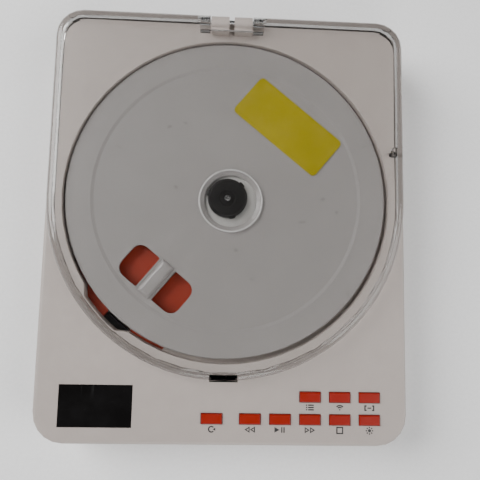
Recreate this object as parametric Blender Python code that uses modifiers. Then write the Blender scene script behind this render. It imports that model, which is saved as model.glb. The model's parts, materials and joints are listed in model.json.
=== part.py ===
"""Portable CD player: a white case with a round disc well, a clear lid hinged at the
back, a removable transport card, the disc drive, the boards and nine buttons.

Metres, +X right, +Y towards the hinge, +Z up. The feet stand on z = 0, and the
origin is under the middle of the case."""

import math

import bmesh
import bpy
from mathutils import Matrix

MM = 0.001

# Clearances
SEAT_GAP = 0.3 * MM
GUIDE_GAP = 0.2 * MM
OVERRUN = 1.0 * MM
SINK = 0.5 * MM
WELD_DISTANCE = 0.002 * MM

# Roundness
FINE_SIDES = 64
ROUND_SIDES = 28
SMALL_SIDES = 12
CORNER_STEPS = 5
SHARP_ANGLE = math.radians(35)

# Layout seen from above: the well sets the lid, and the lid sets the case
WELL_RADIUS = 61.0 * MM
LID_LAND = 4.2 * MM
LID_SIDE_MARGIN = 1.8 * MM
LID_BACK_MARGIN = 0.7 * MM
LID_BACK_LENGTH = 4.8 * MM
FRONT_PANEL = 23.1 * MM
SPINDLE_SHIFT = 1.0 * MM
LID_HALF_WIDTH = WELL_RADIUS + LID_LAND
CASE_WIDTH = 2 * (LID_HALF_WIDTH + LID_SIDE_MARGIN)
CASE_DEPTH = LID_BACK_MARGIN + LID_BACK_LENGTH + 2 * LID_HALF_WIDTH + FRONT_PANEL
CASE_FRONT_Y = -CASE_DEPTH / 2
CASE_BACK_Y = CASE_DEPTH / 2
CASE_SIDE_X = CASE_WIDTH / 2
LID_BACK_Y = CASE_BACK_Y - LID_BACK_MARGIN
LID_ARC_Y = LID_BACK_Y - LID_BACK_LENGTH - LID_HALF_WIDTH
SPINDLE_Y = LID_ARC_Y + SPINDLE_SHIFT

# Case
CASE_CORNER = 11.0 * MM
CASE_WALL = 1.8 * MM
CASE_EDGE = 1.2 * MM
UNDERSIDE = 1.0 * MM
FLOOR_THICKNESS = 1.8 * MM
PARTING = 11.2 * MM
DECK = 20.0 * MM
DECK_THICKNESS = 1.8 * MM

# Disc well, measured from the spindle
WELL_WALL = 1.6 * MM
WELL_DEPTH = 4.0 * MM
WELL_FLOOR = 1.6 * MM

# Disc drive, in its own frame: x runs out along the pickup's path from the spindle
DRIVE_ANGLE = math.radians(230)
OPENING_BACK = 20.0 * MM
OPENING_LEFT = 28.5 * MM
OPENING_RIGHT = 19.0 * MM
NOTCH_REACH = 2.4 * MM
NOTCH_RADIUS = WELL_RADIUS + NOTCH_REACH
NOTCH_START = math.radians(212)
NOTCH_END = math.radians(236)
NOTCH_SLOPE = math.radians(4.5)

# Display window
WINDOW_INSET_X = 21.9 * MM
WINDOW_INSET_Y = 13.2 * MM
WINDOW_X = WINDOW_INSET_X - CASE_SIDE_X
WINDOW_Y = CASE_FRONT_Y + WINDOW_INSET_Y
WINDOW_WIDTH = 25.7 * MM
WINDOW_DEPTH = 14.5 * MM
WINDOW_THICKNESS = 1.0 * MM
WINDOW_GAP = 0.15 * MM
WINDOW_LEDGE = 1.4 * MM

# Buttons
BUTTON_WIDTH = 7.5 * MM
BUTTON_DEPTH = 3.6 * MM
BUTTON_RISE = 0.7 * MM
BUTTON_EDGE = 0.35 * MM
BUTTON_PITCH = 10.82 * MM
BUTTON_ROW_PITCH = 7.9 * MM
BUTTON_COLUMNS = 5
BUTTON_INSET_X = 13.82 * MM
BUTTON_INSET_Y = 9.3 * MM
MODE_BUTTON_PITCH = 13.7 * MM
BUTTON_FIRST_X = CASE_SIDE_X - BUTTON_INSET_X - (BUTTON_COLUMNS - 1) * BUTTON_PITCH
BUTTON_ROW_Y = CASE_FRONT_Y + BUTTON_INSET_Y
MODE_BUTTON_X = BUTTON_FIRST_X - MODE_BUTTON_PITCH
BUTTON_FLANGE = 0.7 * MM
BUTTON_FLANGE_THICKNESS = 0.8 * MM
BUTTON_STEM_RADIUS = 1.2 * MM
BUTTON_STEM = 0.5 * MM
BUTTON_TRAVEL = 0.4 * MM

# Lid
LID_CORNER = 10.0 * MM
LID_HEIGHT = 6.5 * MM
LID_WALL = 1.9 * MM
LID_TOP = 1.8 * MM
LID_EDGE = 2.4 * MM
LID_BACK_LIFT = 0.7 * MM
LID_ARC_STEPS = 40

# Lid hinge
HINGE_INSET = 1.6 * MM
HINGE_RISE = 3.2 * MM
KNUCKLE_RADIUS = 2.2 * MM
KNUCKLE_INNER_X = 8.1 * MM
KNUCKLE_OUTER_X = 12.0 * MM
KNUCKLE_LUG = 4.4 * MM
KNUCKLE_LUG_DROP = 1.2 * MM
HINGE_NOTCH_DEPTH = 6.4 * MM
POST_INNER_X = 1.0 * MM
POST_DEPTH = 5.9 * MM
POST_RADIUS = 2.0 * MM
PIN_RADIUS = 0.8 * MM
PIN_INSET = 0.1 * MM

# Lid hook and catch
HOOK_WIDTH = 8.6 * MM
HOOK_THICKNESS = 1.1 * MM
HOOK_BARB = 0.4 * MM
HOOK_BARB_HEIGHT = 1.0 * MM
HOOK_DROP = 4.4 * MM
HOOK_INSET = 0.4 * MM
CATCH_SLOT_WIDTH = 10.0 * MM
CATCH_SLOT_FRONT = 0.3 * MM
CATCH_SLOT_DEPTH = 2.1 * MM
CATCH_WIDTH = 8.4 * MM
CATCH_LENGTH = 4.1 * MM
CATCH_THICKNESS = 1.0 * MM
CATCH_BITE = 0.3 * MM
CATCH_RAIL = 1.2 * MM

# Lid switch
SWITCH_INSET = 3.1 * MM
SWITCH_PLACE_SHARE = 0.3016393442622951
SWITCH_X = LID_HALF_WIDTH - SWITCH_INSET
SWITCH_Y = SPINDLE_Y + WELL_RADIUS * SWITCH_PLACE_SHARE
SWITCH_PIN_RADIUS = 0.75 * MM
SWITCH_PIN_RISE = 1.7 * MM
SWITCH_TAB_DEPTH = 3.2 * MM
SWITCH_BODY_WIDTH = 3.6 * MM
SWITCH_BODY_DEPTH = 3.6 * MM
SWITCH_BODY_HEIGHT = 4.0 * MM
SWITCH_BODY_SHIFT = 0.4 * MM
SWITCH_PIN_HOLE_DEPTH = 3.0 * MM

# Transport card
CARD_CLEARANCE = 1.0 * MM
CARD_RADIUS = WELL_RADIUS - CARD_CLEARANCE
CARD_SHIFT_X = -0.3 * MM
CARD_SHIFT_Y = 0.6 * MM
CARD_ANGLE = math.radians(231)
CARD_THICKNESS = 1.4 * MM
CARD_SKIRT = 1.1 * MM
CARD_SKIRT_WALL = 1.2 * MM
CARD_DISH_BORDER = 10.5 * MM
CARD_DISH_RADIUS = CARD_RADIUS - CARD_DISH_BORDER
CARD_DISH_SLOPE = 1.2 * MM
CARD_DISH_DEPTH = 0.35 * MM
CARD_EDGE = 0.4 * MM
CARD_HOLE_RADIUS = 9.85 * MM
CARD_HOLE_SHIFT_X = 1.2 * MM
CARD_HOLE_SHIFT_Y = -0.9 * MM
RING_RADIUS = 12.3 * MM
RING_CREST_RADIUS = 11.5 * MM
RING_RISE = 0.6 * MM
RING_ROUND = 0.35 * MM
RING_DIP = 0.5 * MM
GRIP_RADIUS = 40.4 * MM
GRIP_LENGTH = 13.6 * MM
GRIP_SPAN = 27.6 * MM
GRIP_BRIDGE = 7.4 * MM
GRIP_BAR_WIDTH = 5.4 * MM
GRIP_BAR_RISE = 1.5 * MM
GRIP_BAR_EDGE = 1.5 * MM
GRIP_BAR_OVERLAP = 0.6 * MM
GRIP_CORNER = 3.7 * MM
GRIP_INNER_CORNER = 0.6 * MM
STICKER_RADIUS = 36.0 * MM
STICKER_LENGTH = 40.2 * MM
STICKER_WIDTH = 17.8 * MM
STICKER_CORNER = 1.6 * MM
STICKER_THICKNESS = 0.2 * MM
STICKER_GAP = 0.08 * MM

# Turntable and hub
TURNTABLE_RADIUS = 15.5 * MM
TURNTABLE_SEAT = 1.1 * MM
TURNTABLE_THICKNESS = 1.2 * MM
TURNTABLE_RIM = 2.0 * MM
TURNTABLE_BOSS_RADIUS = 4.0 * MM
TURNTABLE_BOSS = 3.4 * MM
HUB_RADIUS = 7.4 * MM
HUB_HEIGHT = 2.8 * MM
HUB_CHAMFER = 0.9 * MM
HUB_DISH_RADIUS = 3.2 * MM
HUB_DISH = 0.4 * MM
SHAFT_RADIUS = 1.0 * MM
SHAFT_TIP = 0.3 * MM
CLAW_COUNT = 3
CLAW_WIDTH = 2.4 * MM
CLAW_LENGTH = 2.6 * MM
CLAW_HEIGHT = 1.0 * MM
CLAW_REACH = 0.55 * MM
CLAW_EDGE = 0.35 * MM
CLAW_SEAT_RISE = 1.1 * MM
CLAW_FIRST_ANGLE = math.radians(45)

# Drive: cover, chassis and their holes
COVER_THICKNESS = 1.2 * MM
COVER_MARGIN = 2.0 * MM
COVER_REACH = 3.3 * MM
COVER_OUTER_X = WELL_RADIUS + COVER_REACH
COVER_CORNER = 8.0 * MM
COVER_HOLE_RADIUS = 13.2 * MM
LENS_SLOT_WIDTH = 7.4 * MM
LENS_SLOT_START = 19.9 * MM
LENS_SLOT_END_WIDTH = 11.2 * MM
LENS_SLOT_END_INSET = 2.5 * MM
LENS_SLOT_END_START = WELL_RADIUS - LENS_SLOT_END_INSET
CHASSIS_THICKNESS = 1.6 * MM
CHASSIS_BACK = 15.0 * MM
CHASSIS_REACH = 3.5 * MM
CHASSIS_OUTER_X = WELL_RADIUS + CHASSIS_REACH
CHASSIS_LEFT = 32.5 * MM
CHASSIS_RIGHT = 18.5 * MM
CHASSIS_WINDOW_START = 14.3 * MM
CHASSIS_FRAME = 3.2 * MM
CHASSIS_WINDOW_END = CHASSIS_OUTER_X - CHASSIS_FRAME
CHASSIS_WINDOW_LEFT = 19.8 * MM
CHASSIS_WINDOW_RIGHT = 13.2 * MM
CHASSIS_BOSS_HOLE = 5.0 * MM
EAR_RADIUS = 4.2 * MM
EAR_HOLE_RADIUS = 2.6 * MM
EAR_PLACES = ((-6.0 * MM, 25.2 * MM), (44.0 * MM, 25.2 * MM), (28.0 * MM, -37.5 * MM))
DAMPER_NECK_RADIUS = 2.3 * MM
DAMPER_RIM_RADIUS = 3.6 * MM
DAMPER_RIM = 0.9 * MM
DAMPER_BORE_RADIUS = 1.2 * MM
MOUNT_POST_RADIUS = 2.8 * MM

# Drive: motors, rods, sled and gears
SPINDLE_MOTOR_RADIUS = 12.0 * MM
SPINDLE_MOTOR_HEIGHT = 6.0 * MM
SHAFT_DEPTH = 4.0 * MM
ROD_RADIUS = 1.2 * MM
ROD_HEIGHT = 8.7 * MM
MAIN_ROD_Y = -14.0 * MM
SIDE_ROD_Y = 9.5 * MM
LUG_WIDTH = 4.0 * MM
LUG_INNER_X = 11.0 * MM
LUG_INSET = 2.7 * MM
LUG_OUTER_X = CHASSIS_OUTER_X - LUG_INSET
LUG_LENGTH = 2.4 * MM
LUG_BOTTOM = 6.9 * MM
LENS_START = 24.0 * MM
LENS_TRAVEL = 33.0 * MM
LENS_RADIUS = 2.1 * MM
LENS_RIM = 0.5 * MM
LENS_DOME = 0.5 * MM
LENS_BACK = 0.4 * MM
LENS_TOP_GAP = 1.9 * MM
HOLDER_SIZE = 6.4 * MM
HOLDER_EDGE = 0.8 * MM
HOLDER_POCKET = 0.9 * MM
SLED_BACK = 9.0 * MM
SLED_FRONT = 4.3 * MM
SLED_LEFT = 17.3 * MM
SLED_RIGHT = 11.5 * MM
SLED_BOTTOM = 6.2 * MM
SLED_TOP = 10.4 * MM
SLED_EDGE = 0.6 * MM
RACK_BOTTOM = 5.4 * MM
RACK_TOP = 7.4 * MM
RACK_STRIP_Y = -16.3 * MM
GEAR_MODULE_RACK = 0.6 * MM
GEAR_TEETH_RACK = 12
GEAR_MODULE_MOTOR = 0.5 * MM
GEAR_TEETH_DRIVE = 34
GEAR_TEETH_PINION = 10
GEAR_ADDENDUM_SHARE = 0.9
GEAR_DEDENDUM_SHARE = 1.2
GEAR_TOOTH_SHARE = 0.8
GEAR_PRESSURE_ANGLE = math.radians(20)
GEAR_FLANK_STEPS = 2
GEAR_X = 20.0 * MM
RACK_PITCH_Y = -18.35 * MM
RACK_TEETH = 23
RACK_TEETH_AHEAD = 2
DRIVE_GEAR_BOTTOM = 3.9 * MM
DRIVE_GEAR_FACE = 1.0 * MM
DRIVE_GEAR_TOP = 7.6 * MM
GEAR_SHAFT_RADIUS = 0.8 * MM
SLED_MOTOR_RADIUS = 6.0 * MM
SLED_MOTOR_HEIGHT = 5.2 * MM
SLED_MOTOR_DROP = 3.85 * MM
MOTOR_SHAFT_RADIUS = 0.5 * MM
MOTOR_SHAFT_DEPTH = 2.0 * MM

# Boards
MAIN_BOARD_BOTTOM = 4.2 * MM
BOARD_THICKNESS = 1.2 * MM
MAIN_BOARD_FRONT = 4.0 * MM
MAIN_BOARD_DEPTH = 24.0 * MM
MAIN_BOARD_SIDE = 4.2 * MM
MAIN_BOARD_CORNER = 8.0 * MM
KEY_BOARD_TOP = 14.6 * MM
KEY_BOARD_SIDE = 9.4 * MM
KEY_BOARD_FRONT = 4.0 * MM
KEY_BOARD_DEPTH = 17.7 * MM
KEY_PAD_MARGIN = 2.6 * MM
KEY_PAD_THICKNESS = 0.6 * MM
KEY_DOME_RADIUS = 2.0 * MM
KEY_DOME = 0.6 * MM
DISPLAY_MODULE_WIDTH = 23.0 * MM
DISPLAY_MODULE_DEPTH = 12.4 * MM
LINK_WIDTH = 18.0 * MM
LINK_DEPTH = 2.6 * MM
LINK_X = 3.0 * MM
LINK_BACK = 1.6 * MM
CHIP_HEIGHT = 1.4 * MM
CHIP_X = -26.0 * MM
CHIP_SIDE = 10.0 * MM
CAPACITOR_RADIUS = 2.5 * MM
CAPACITOR_HEIGHT = 6.0 * MM
CAPACITOR_X = 32.0 * MM
BOARD_POST_RADIUS = 1.8 * MM
BOARD_POST_SIDE = 21.0 * MM
BOARD_POST_X = CASE_SIDE_X - BOARD_POST_SIDE
BOARD_POST_INSET = 3.6 * MM
KEY_POST_FRONT_X = (-28.0 * MM, 3.05 * MM)
KEY_POST_BACK_X = (-28.0 * MM, 22.0 * MM)
POST_PIN_RADIUS = 0.75 * MM
POST_PIN_END = 0.6 * MM

# Battery
BATTERY_WIDTH = 32.0 * MM
BATTERY_DEPTH = 48.0 * MM
BATTERY_INSET = 5.5 * MM
BATTERY_BEHIND_SPINDLE = 34.2 * MM
BATTERY_HIGH = (CASE_SIDE_X - BATTERY_INSET, SPINDLE_Y + BATTERY_BEHIND_SPINDLE)
BATTERY_LOW = (BATTERY_HIGH[0] - BATTERY_WIDTH, BATTERY_HIGH[1] - BATTERY_DEPTH)
BATTERY_HEIGHT = 6.0 * MM
BATTERY_EDGE = 1.2 * MM
BATTERY_RIB = 1.2 * MM
BATTERY_RIB_HEIGHT = 2.6 * MM

# Sockets and the power switch
JACK_INSET_Y = 14.0 * MM
JACK_Y = CASE_FRONT_Y + JACK_INSET_Y
JACK_WIDTH = 6.4 * MM
JACK_HEIGHT = 5.2 * MM
JACK_LENGTH = 12.0 * MM
JACK_NOSE_RADIUS = 3.0 * MM
JACK_NOSE_INSET = 0.3 * MM
JACK_BORE_RADIUS = 1.8 * MM
JACK_BORE_DEPTH = 12.0 * MM
USB_INSET_Y = 15.5 * MM
USB_Y = CASE_FRONT_Y + USB_INSET_Y
USB_WIDTH = 8.9 * MM
USB_HEIGHT = 3.2 * MM
USB_LENGTH = 7.4 * MM
USB_WALL = 0.35 * MM
USB_TONGUE_WIDTH = 6.6 * MM
USB_TONGUE_HEIGHT = 0.8 * MM
USB_TONGUE_INSET = 1.2 * MM
POWER_INSET_Y = 22.7 * MM
POWER_Y = CASE_FRONT_Y + POWER_INSET_Y
POWER_BODY_DEPTH = 6.4 * MM
POWER_BODY_HEIGHT = 3.4 * MM
POWER_BODY_WIDTH = 3.0 * MM
POWER_KNOB_DEPTH = 1.8 * MM
POWER_KNOB_HEIGHT = 1.6 * MM
POWER_TRAVEL = 2.0 * MM
POWER_NECK = 1.0 * MM

# Fasteners and feet
CASE_SCREW_INSET_X = 6.4 * MM
CASE_SCREW_FRONT_INSET = 7.3 * MM
CASE_SCREW_BACK_INSET = 7.7 * MM
CASE_SCREW_X = CASE_SIDE_X - CASE_SCREW_INSET_X
CASE_SCREW_FRONT_Y = CASE_FRONT_Y + CASE_SCREW_FRONT_INSET
CASE_SCREW_BACK_Y = CASE_BACK_Y - CASE_SCREW_BACK_INSET
CASE_BOSS_RADIUS = 2.6 * MM
SLEEVE_RADIUS = 3.0 * MM
SLEEVE_TOP = 9.5 * MM
SCREW_RADIUS = 0.85 * MM
SCREW_HEAD_RADIUS = 1.8 * MM
SCREW_HEAD = 1.2 * MM
SCREW_HEAD_EDGE = 0.3 * MM
SCREW_CROSS_WIDTH = 0.5 * MM
SCREW_CROSS_LENGTH = 1.8 * MM
SCREW_CROSS_DEPTH = 0.6 * MM
CASE_SCREW_SEAT = 3.0 * MM
CASE_SCREW_LENGTH = 11.0 * MM
FOOT_RADIUS = 4.5 * MM
FOOT_HEIGHT = 1.4 * MM
FOOT_EDGE = 0.3 * MM
FOOT_INSET_X = 15.0 * MM
FOOT_INSET_Y = 14.5 * MM
FOOT_X = CASE_SIDE_X - FOOT_INSET_X
FOOT_Y = CASE_BACK_Y - FOOT_INSET_Y

# Places worked out from the sizes
FLOOR = UNDERSIDE + FLOOR_THICKNESS
DECK_UNDERSIDE = DECK - DECK_THICKNESS
TOP_CASE_BOTTOM = PARTING + SEAT_GAP
WELL_TOP = DECK - WELL_DEPTH
WELL_UNDERSIDE = WELL_TOP - WELL_FLOOR
WELL_OUTER = WELL_RADIUS + WELL_WALL
LID_BOTTOM = DECK + SEAT_GAP
LID_CREST = DECK + LID_HEIGHT
LID_CEILING = LID_CREST - LID_TOP
HINGE_Y = LID_BACK_Y - HINGE_INSET
HINGE_Z = DECK + HINGE_RISE
PIN_BORE = PIN_RADIUS + GUIDE_GAP
LID_FRONT_Y = LID_ARC_Y - LID_HALF_WIDTH
HOOK_FRONT_Y = LID_FRONT_Y + HOOK_INSET
HOOK_BOTTOM = DECK - HOOK_DROP
CATCH_BOTTOM = HOOK_BOTTOM + HOOK_BARB_HEIGHT + SEAT_GAP
CATCH_TIP_Y = HOOK_FRONT_Y - HOOK_BARB + CATCH_BITE
SEAT = WELL_TOP + TURNTABLE_SEAT
HUB_TOP = SEAT + HUB_HEIGHT
CARD_BOTTOM = WELL_TOP + SEAT_GAP
CARD_UNDERSIDE = CARD_BOTTOM + CARD_SKIRT
CARD_TOP = CARD_UNDERSIDE + CARD_THICKNESS
CARD_FACE = CARD_TOP - CARD_DISH_DEPTH
CARD_X = CARD_SHIFT_X
CARD_Y = SPINDLE_Y + CARD_SHIFT_Y
COVER_TOP = WELL_UNDERSIDE - SEAT_GAP
COVER_BOTTOM = COVER_TOP - COVER_THICKNESS
CHASSIS_TOP = COVER_BOTTOM - SEAT_GAP
CHASSIS_BOTTOM = CHASSIS_TOP - CHASSIS_THICKNESS
MOTOR_TOP = CHASSIS_BOTTOM - SEAT_GAP
DAMPER_TOP = CHASSIS_TOP + SEAT_GAP + DAMPER_RIM
DAMPER_BOTTOM = CHASSIS_BOTTOM - SEAT_GAP - DAMPER_RIM
MOUNT_POST_TOP = DAMPER_BOTTOM - SEAT_GAP
RACK_GEAR_RADIUS = GEAR_TEETH_RACK * GEAR_MODULE_RACK / 2
GEAR_Y = RACK_PITCH_Y - RACK_GEAR_RADIUS
DRIVE_GEAR_RADIUS = GEAR_TEETH_DRIVE * GEAR_MODULE_MOTOR / 2
PINION_RADIUS = GEAR_TEETH_PINION * GEAR_MODULE_MOTOR / 2
MOTOR_DISTANCE = DRIVE_GEAR_RADIUS + PINION_RADIUS
MOTOR_X = GEAR_X - math.sqrt(MOTOR_DISTANCE**2 - SLED_MOTOR_DROP**2)
MOTOR_Y = GEAR_Y - SLED_MOTOR_DROP
LENS_TOP = SEAT - LENS_TOP_GAP
MAIN_BOARD_TOP = MAIN_BOARD_BOTTOM + BOARD_THICKNESS
MAIN_BOARD_FRONT_Y = CASE_FRONT_Y + MAIN_BOARD_FRONT
MAIN_BOARD_BACK_Y = MAIN_BOARD_FRONT_Y + MAIN_BOARD_DEPTH
MAIN_BOARD_Y = (MAIN_BOARD_FRONT_Y + MAIN_BOARD_BACK_Y) / 2
KEY_BOARD_BOTTOM = KEY_BOARD_TOP - BOARD_THICKNESS
KEY_BOARD_FRONT_Y = CASE_FRONT_Y + KEY_BOARD_FRONT
KEY_BOARD_BACK_Y = KEY_BOARD_FRONT_Y + KEY_BOARD_DEPTH
PART_HEIGHT = MAIN_BOARD_TOP + SEAT_GAP

PARTS = bpy.data.collections.new("portable_cd_player")
CUTTERS = bpy.data.collections.new("cutters")


def clear_scene():
    for obj in list(bpy.data.objects):
        bpy.data.objects.remove(obj)
    bpy.context.scene.collection.children.link(PARTS)
    bpy.context.scene.collection.children.link(CUTTERS)


# Materials


def finish(name, colour, roughness, metallic=0.0, transmission=0.0):
    material = bpy.data.materials.new(name)
    material.use_nodes = True
    shader = material.node_tree.nodes["Principled BSDF"]
    shader.inputs["Base Color"].default_value = (*colour, 1.0)
    shader.inputs["Roughness"].default_value = roughness
    shader.inputs["Metallic"].default_value = metallic
    shader.inputs["Transmission Weight"].default_value = transmission
    material.diffuse_color = (*colour, 1.0)
    return material


def white_plastic(name):
    return finish(name, (0.62, 0.60, 0.57), 0.45)


def card_plastic(name):
    return finish(name, (0.50, 0.49, 0.47), 0.5)


def clear_plastic(name):
    return finish(name, (0.95, 0.95, 0.95), 0.05, transmission=1.0)


def orange_plastic(name):
    return finish(name, (0.42, 0.06, 0.02), 0.4)


def black_plastic(name):
    return finish(name, (0.02, 0.02, 0.02), 0.45)


def glossy_black(name):
    return finish(name, (0.008, 0.007, 0.007), 0.12)


def yellow_film(name):
    return finish(name, (0.55, 0.45, 0.02), 0.4)


def steel(name):
    return finish(name, (0.62, 0.62, 0.62), 0.25, metallic=1.0)


def brass(name):
    return finish(name, (0.65, 0.48, 0.22), 0.3, metallic=1.0)


def black_rubber(name):
    return finish(name, (0.03, 0.03, 0.03), 0.85)


def board_green(name):
    return finish(name, (0.02, 0.16, 0.07), 0.5)


def lens_glass(name):
    return finish(name, (0.25, 0.3, 0.6), 0.05, transmission=0.8)


def foil_silver(name):
    return finish(name, (0.6, 0.61, 0.64), 0.35, metallic=0.6)


def natural_plastic(name):
    return finish(name, (0.75, 0.73, 0.68), 0.5)


# Solids


def add_object(name, mesh):
    obj = bpy.data.objects.new(name, mesh)
    PARTS.objects.link(obj)
    return obj


def object_from(name, form):
    mesh = bpy.data.meshes.new(name)
    form.to_mesh(mesh)
    form.free()
    return add_object(name, mesh)


def box(name, low, high):
    form = bmesh.new()
    bmesh.ops.create_cube(form, size=1.0)
    size = [high[i] - low[i] for i in range(3)]
    centre = [(high[i] + low[i]) / 2 for i in range(3)]
    bmesh.ops.scale(form, vec=size, verts=form.verts)
    bmesh.ops.translate(form, vec=centre, verts=form.verts)
    return object_from(name, form)


def block(name, centre, width, depth, low, high):
    """A box by its middle seen from above, its two sides and its two heights."""
    x, y = centre
    return box(
        name,
        (x - width / 2, y - depth / 2, low),
        (x + width / 2, y + depth / 2, high),
    )


def cylinder(name, radius, low, high, centre=(0.0, 0.0), sides=SMALL_SIDES):
    form = bmesh.new()
    bmesh.ops.create_cone(
        form, cap_ends=True, segments=sides, radius1=radius, radius2=radius, depth=high - low
    )
    bmesh.ops.translate(form, vec=(*centre, (low + high) / 2), verts=form.verts)
    return object_from(name, form)


def cross_cylinder(name, radius, low_x, high_x, y, z, sides=SMALL_SIDES):
    """A cylinder whose axis runs along X."""
    form = bmesh.new()
    bmesh.ops.create_cone(
        form, cap_ends=True, segments=sides, radius1=radius, radius2=radius, depth=high_x - low_x
    )
    turn = Matrix.Rotation(math.radians(90), 4, "Y")
    bmesh.ops.transform(form, matrix=turn, verts=form.verts)
    bmesh.ops.translate(form, vec=((low_x + high_x) / 2, y, z), verts=form.verts)
    return object_from(name, form)


def mesh_of(curve_object, one_outline):
    """The closed mesh of a curve object, in its place; without holes its caps are one face."""
    graph = bpy.context.evaluated_depsgraph_get()
    mesh = bpy.data.meshes.new_from_object(curve_object.evaluated_get(graph))
    mesh.transform(curve_object.matrix_world)
    form = bmesh.new()
    form.from_mesh(mesh)
    bmesh.ops.remove_doubles(form, verts=form.verts, dist=WELD_DISTANCE)
    if one_outline:
        inner = [edge for edge in form.edges if all(is_level(face) for face in edge.link_faces)]
        bmesh.ops.dissolve_edges(form, edges=inner)
    form.to_mesh(mesh)
    form.free()
    return mesh


def is_level(face):
    heights = [vert.co.z for vert in face.verts]
    return max(heights) - min(heights) < WELD_DISTANCE


def plate(name, outlines, low, high):
    """A flat solid from one outline, or from an outline and the holes in it."""
    curve = bpy.data.curves.new(name, "CURVE")
    curve.dimensions = "2D"
    curve.fill_mode = "BOTH"
    curve.extrude = (high - low) / 2
    for outline in outlines:
        spline = curve.splines.new("POLY")
        spline.points.add(len(outline) - 1)
        for point, (x, y) in zip(spline.points, outline):
            point.co = (x, y, 0.0, 1.0)
        spline.use_cyclic_u = True
    flat = add_object(name + "_outline", curve)
    flat.location.z = (low + high) / 2
    bpy.context.view_layer.update()
    solid = add_object(name, mesh_of(flat, len(outlines) == 1))
    bpy.data.objects.remove(flat)
    return solid


def turned(name, profile, sides, centre=(0.0, 0.0), closed=False):
    """A body turned about Z from a profile of (radius, height) points, top to bottom."""
    mesh = bpy.data.meshes.new(name)
    points = [(radius, 0.0, height) for radius, height in profile]
    edges = [(i, i + 1) for i in range(len(points) - 1)]
    if closed:
        edges.append((len(points) - 1, 0))
    mesh.from_pydata(points, edges, [])
    obj = add_object(name, mesh)
    obj.location = (*centre, 0.0)
    screw = obj.modifiers.new("turn", "SCREW")
    screw.steps = sides
    screw.render_steps = sides
    screw.use_merge_vertices = True
    screw.merge_threshold = WELD_DISTANCE
    bpy.context.view_layer.update()
    return baked(obj)


def baked(obj):
    """The object with its modifiers worked into its mesh, and its location too."""
    graph = bpy.context.evaluated_depsgraph_get()
    mesh = bpy.data.meshes.new_from_object(obj.evaluated_get(graph))
    mesh.transform(obj.matrix_basis)
    obj.modifiers.clear()
    obj.data = mesh
    obj.matrix_basis = Matrix()
    return obj


def round_edges(obj, width, steps, chosen):
    """Rounds the edges that chosen(edge) picks."""
    form = bmesh.new()
    form.from_mesh(obj.data)
    bmesh.ops.dissolve_limit(
        form, angle_limit=math.radians(1), verts=form.verts, edges=form.edges
    )
    edges = [edge for edge in form.edges if chosen(edge)]
    bmesh.ops.bevel(
        form, geom=edges, offset=width, segments=steps, profile=0.5, affect="EDGES"
    )
    form.to_mesh(obj.data)
    form.free()
    return obj


def at_height(height):
    """Picks the edges that lie flat at one height."""

    def chosen(edge):
        return all(abs(vert.co.z - height) < WELD_DISTANCE for vert in edge.verts)

    return chosen


def sharp_and(condition):
    """Picks the edges between two unlike faces whose ends all meet the condition."""

    def chosen(edge):
        if len(edge.link_faces) != 2 or edge.calc_face_angle() < SHARP_ANGLE:
            return False
        return all(condition(vert.co) for vert in edge.verts)

    return chosen


def every_edge(point):
    return True


def as_tool(obj):
    PARTS.objects.unlink(obj)
    CUTTERS.objects.link(obj)
    obj.hide_render = True
    obj.display_type = "WIRE"


def combine(target, tools, operation):
    for tool in tools:
        modifier = target.modifiers.new(tool.name, "BOOLEAN")
        modifier.operation = operation
        modifier.solver = "EXACT"
        modifier.object = tool
        as_tool(tool)
    return target


def cut(target, *tools):
    return combine(target, tools, "DIFFERENCE")


def unite(target, *tools):
    return combine(target, tools, "UNION")


def finished(obj, material):
    """The finished sub-part, with its cuts worked in, its shading and its material."""
    bpy.context.view_layer.update()
    baked(obj)
    form = bmesh.new()
    form.from_mesh(obj.data)
    bmesh.ops.dissolve_degenerate(form, dist=WELD_DISTANCE, edges=form.edges)
    loose = [edge for edge in form.edges if not edge.link_faces]
    bmesh.ops.delete(form, geom=loose, context="EDGES")
    form.to_mesh(obj.data)
    form.free()
    obj.data.shade_smooth()
    obj.data.set_sharp_from_angle(angle=SHARP_ANGLE)
    obj.data.materials.clear()
    obj.data.materials.append(material(obj.name))
    return obj


def add_axis(name, place, turn=0.0):
    """An empty on a joint's axis, or at the origin of a group's own frame."""
    empty = bpy.data.objects.new(name, None)
    PARTS.objects.link(empty)
    empty.location = place
    empty.rotation_euler = (0.0, 0.0, turn)
    return empty


def hold(empty, *solids):
    """Parents solids that are modelled in the empty's own frame."""
    for solid in solids:
        solid.parent = empty


def hold_in_place(empty, *solids):
    """Parents solids that are modelled in the player's frame."""
    for solid in solids:
        solid.parent = empty
        solid.matrix_parent_inverse = Matrix.Translation(empty.location).inverted()


# Outlines


def arc(centre, radius, start, end, steps):
    x, y = centre
    angles = [start + (end - start) * i / steps for i in range(steps + 1)]
    return [(x + radius * math.cos(a), y + radius * math.sin(a)) for a in angles]


def circle(centre, radius, sides):
    return arc(centre, radius, 0.0, 2 * math.pi, sides)[:-1]


def rounded_box(low, high, radii, steps=CORNER_STEPS):
    """A box's outline from above; radii run from the low x, low y corner anticlockwise."""
    corners = ((low[0], low[1]), (high[0], low[1]), (high[0], high[1]), (low[0], high[1]))
    inward = ((1, 1), (-1, 1), (-1, -1), (1, -1))
    points = []
    for k in range(4):
        radius = radii[k]
        middle = (
            corners[k][0] + inward[k][0] * radius,
            corners[k][1] + inward[k][1] * radius,
        )
        start = math.pi + k * math.pi / 2
        points += arc(middle, radius, start, start + math.pi / 2, steps)
    return points


def rounded_rectangle(width, depth, radius, centre=(0.0, 0.0), steps=CORNER_STEPS):
    x, y = centre
    low = (x - width / 2, y - depth / 2)
    high = (x + width / 2, y + depth / 2)
    return rounded_box(low, high, (radius,) * 4, steps)


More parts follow.
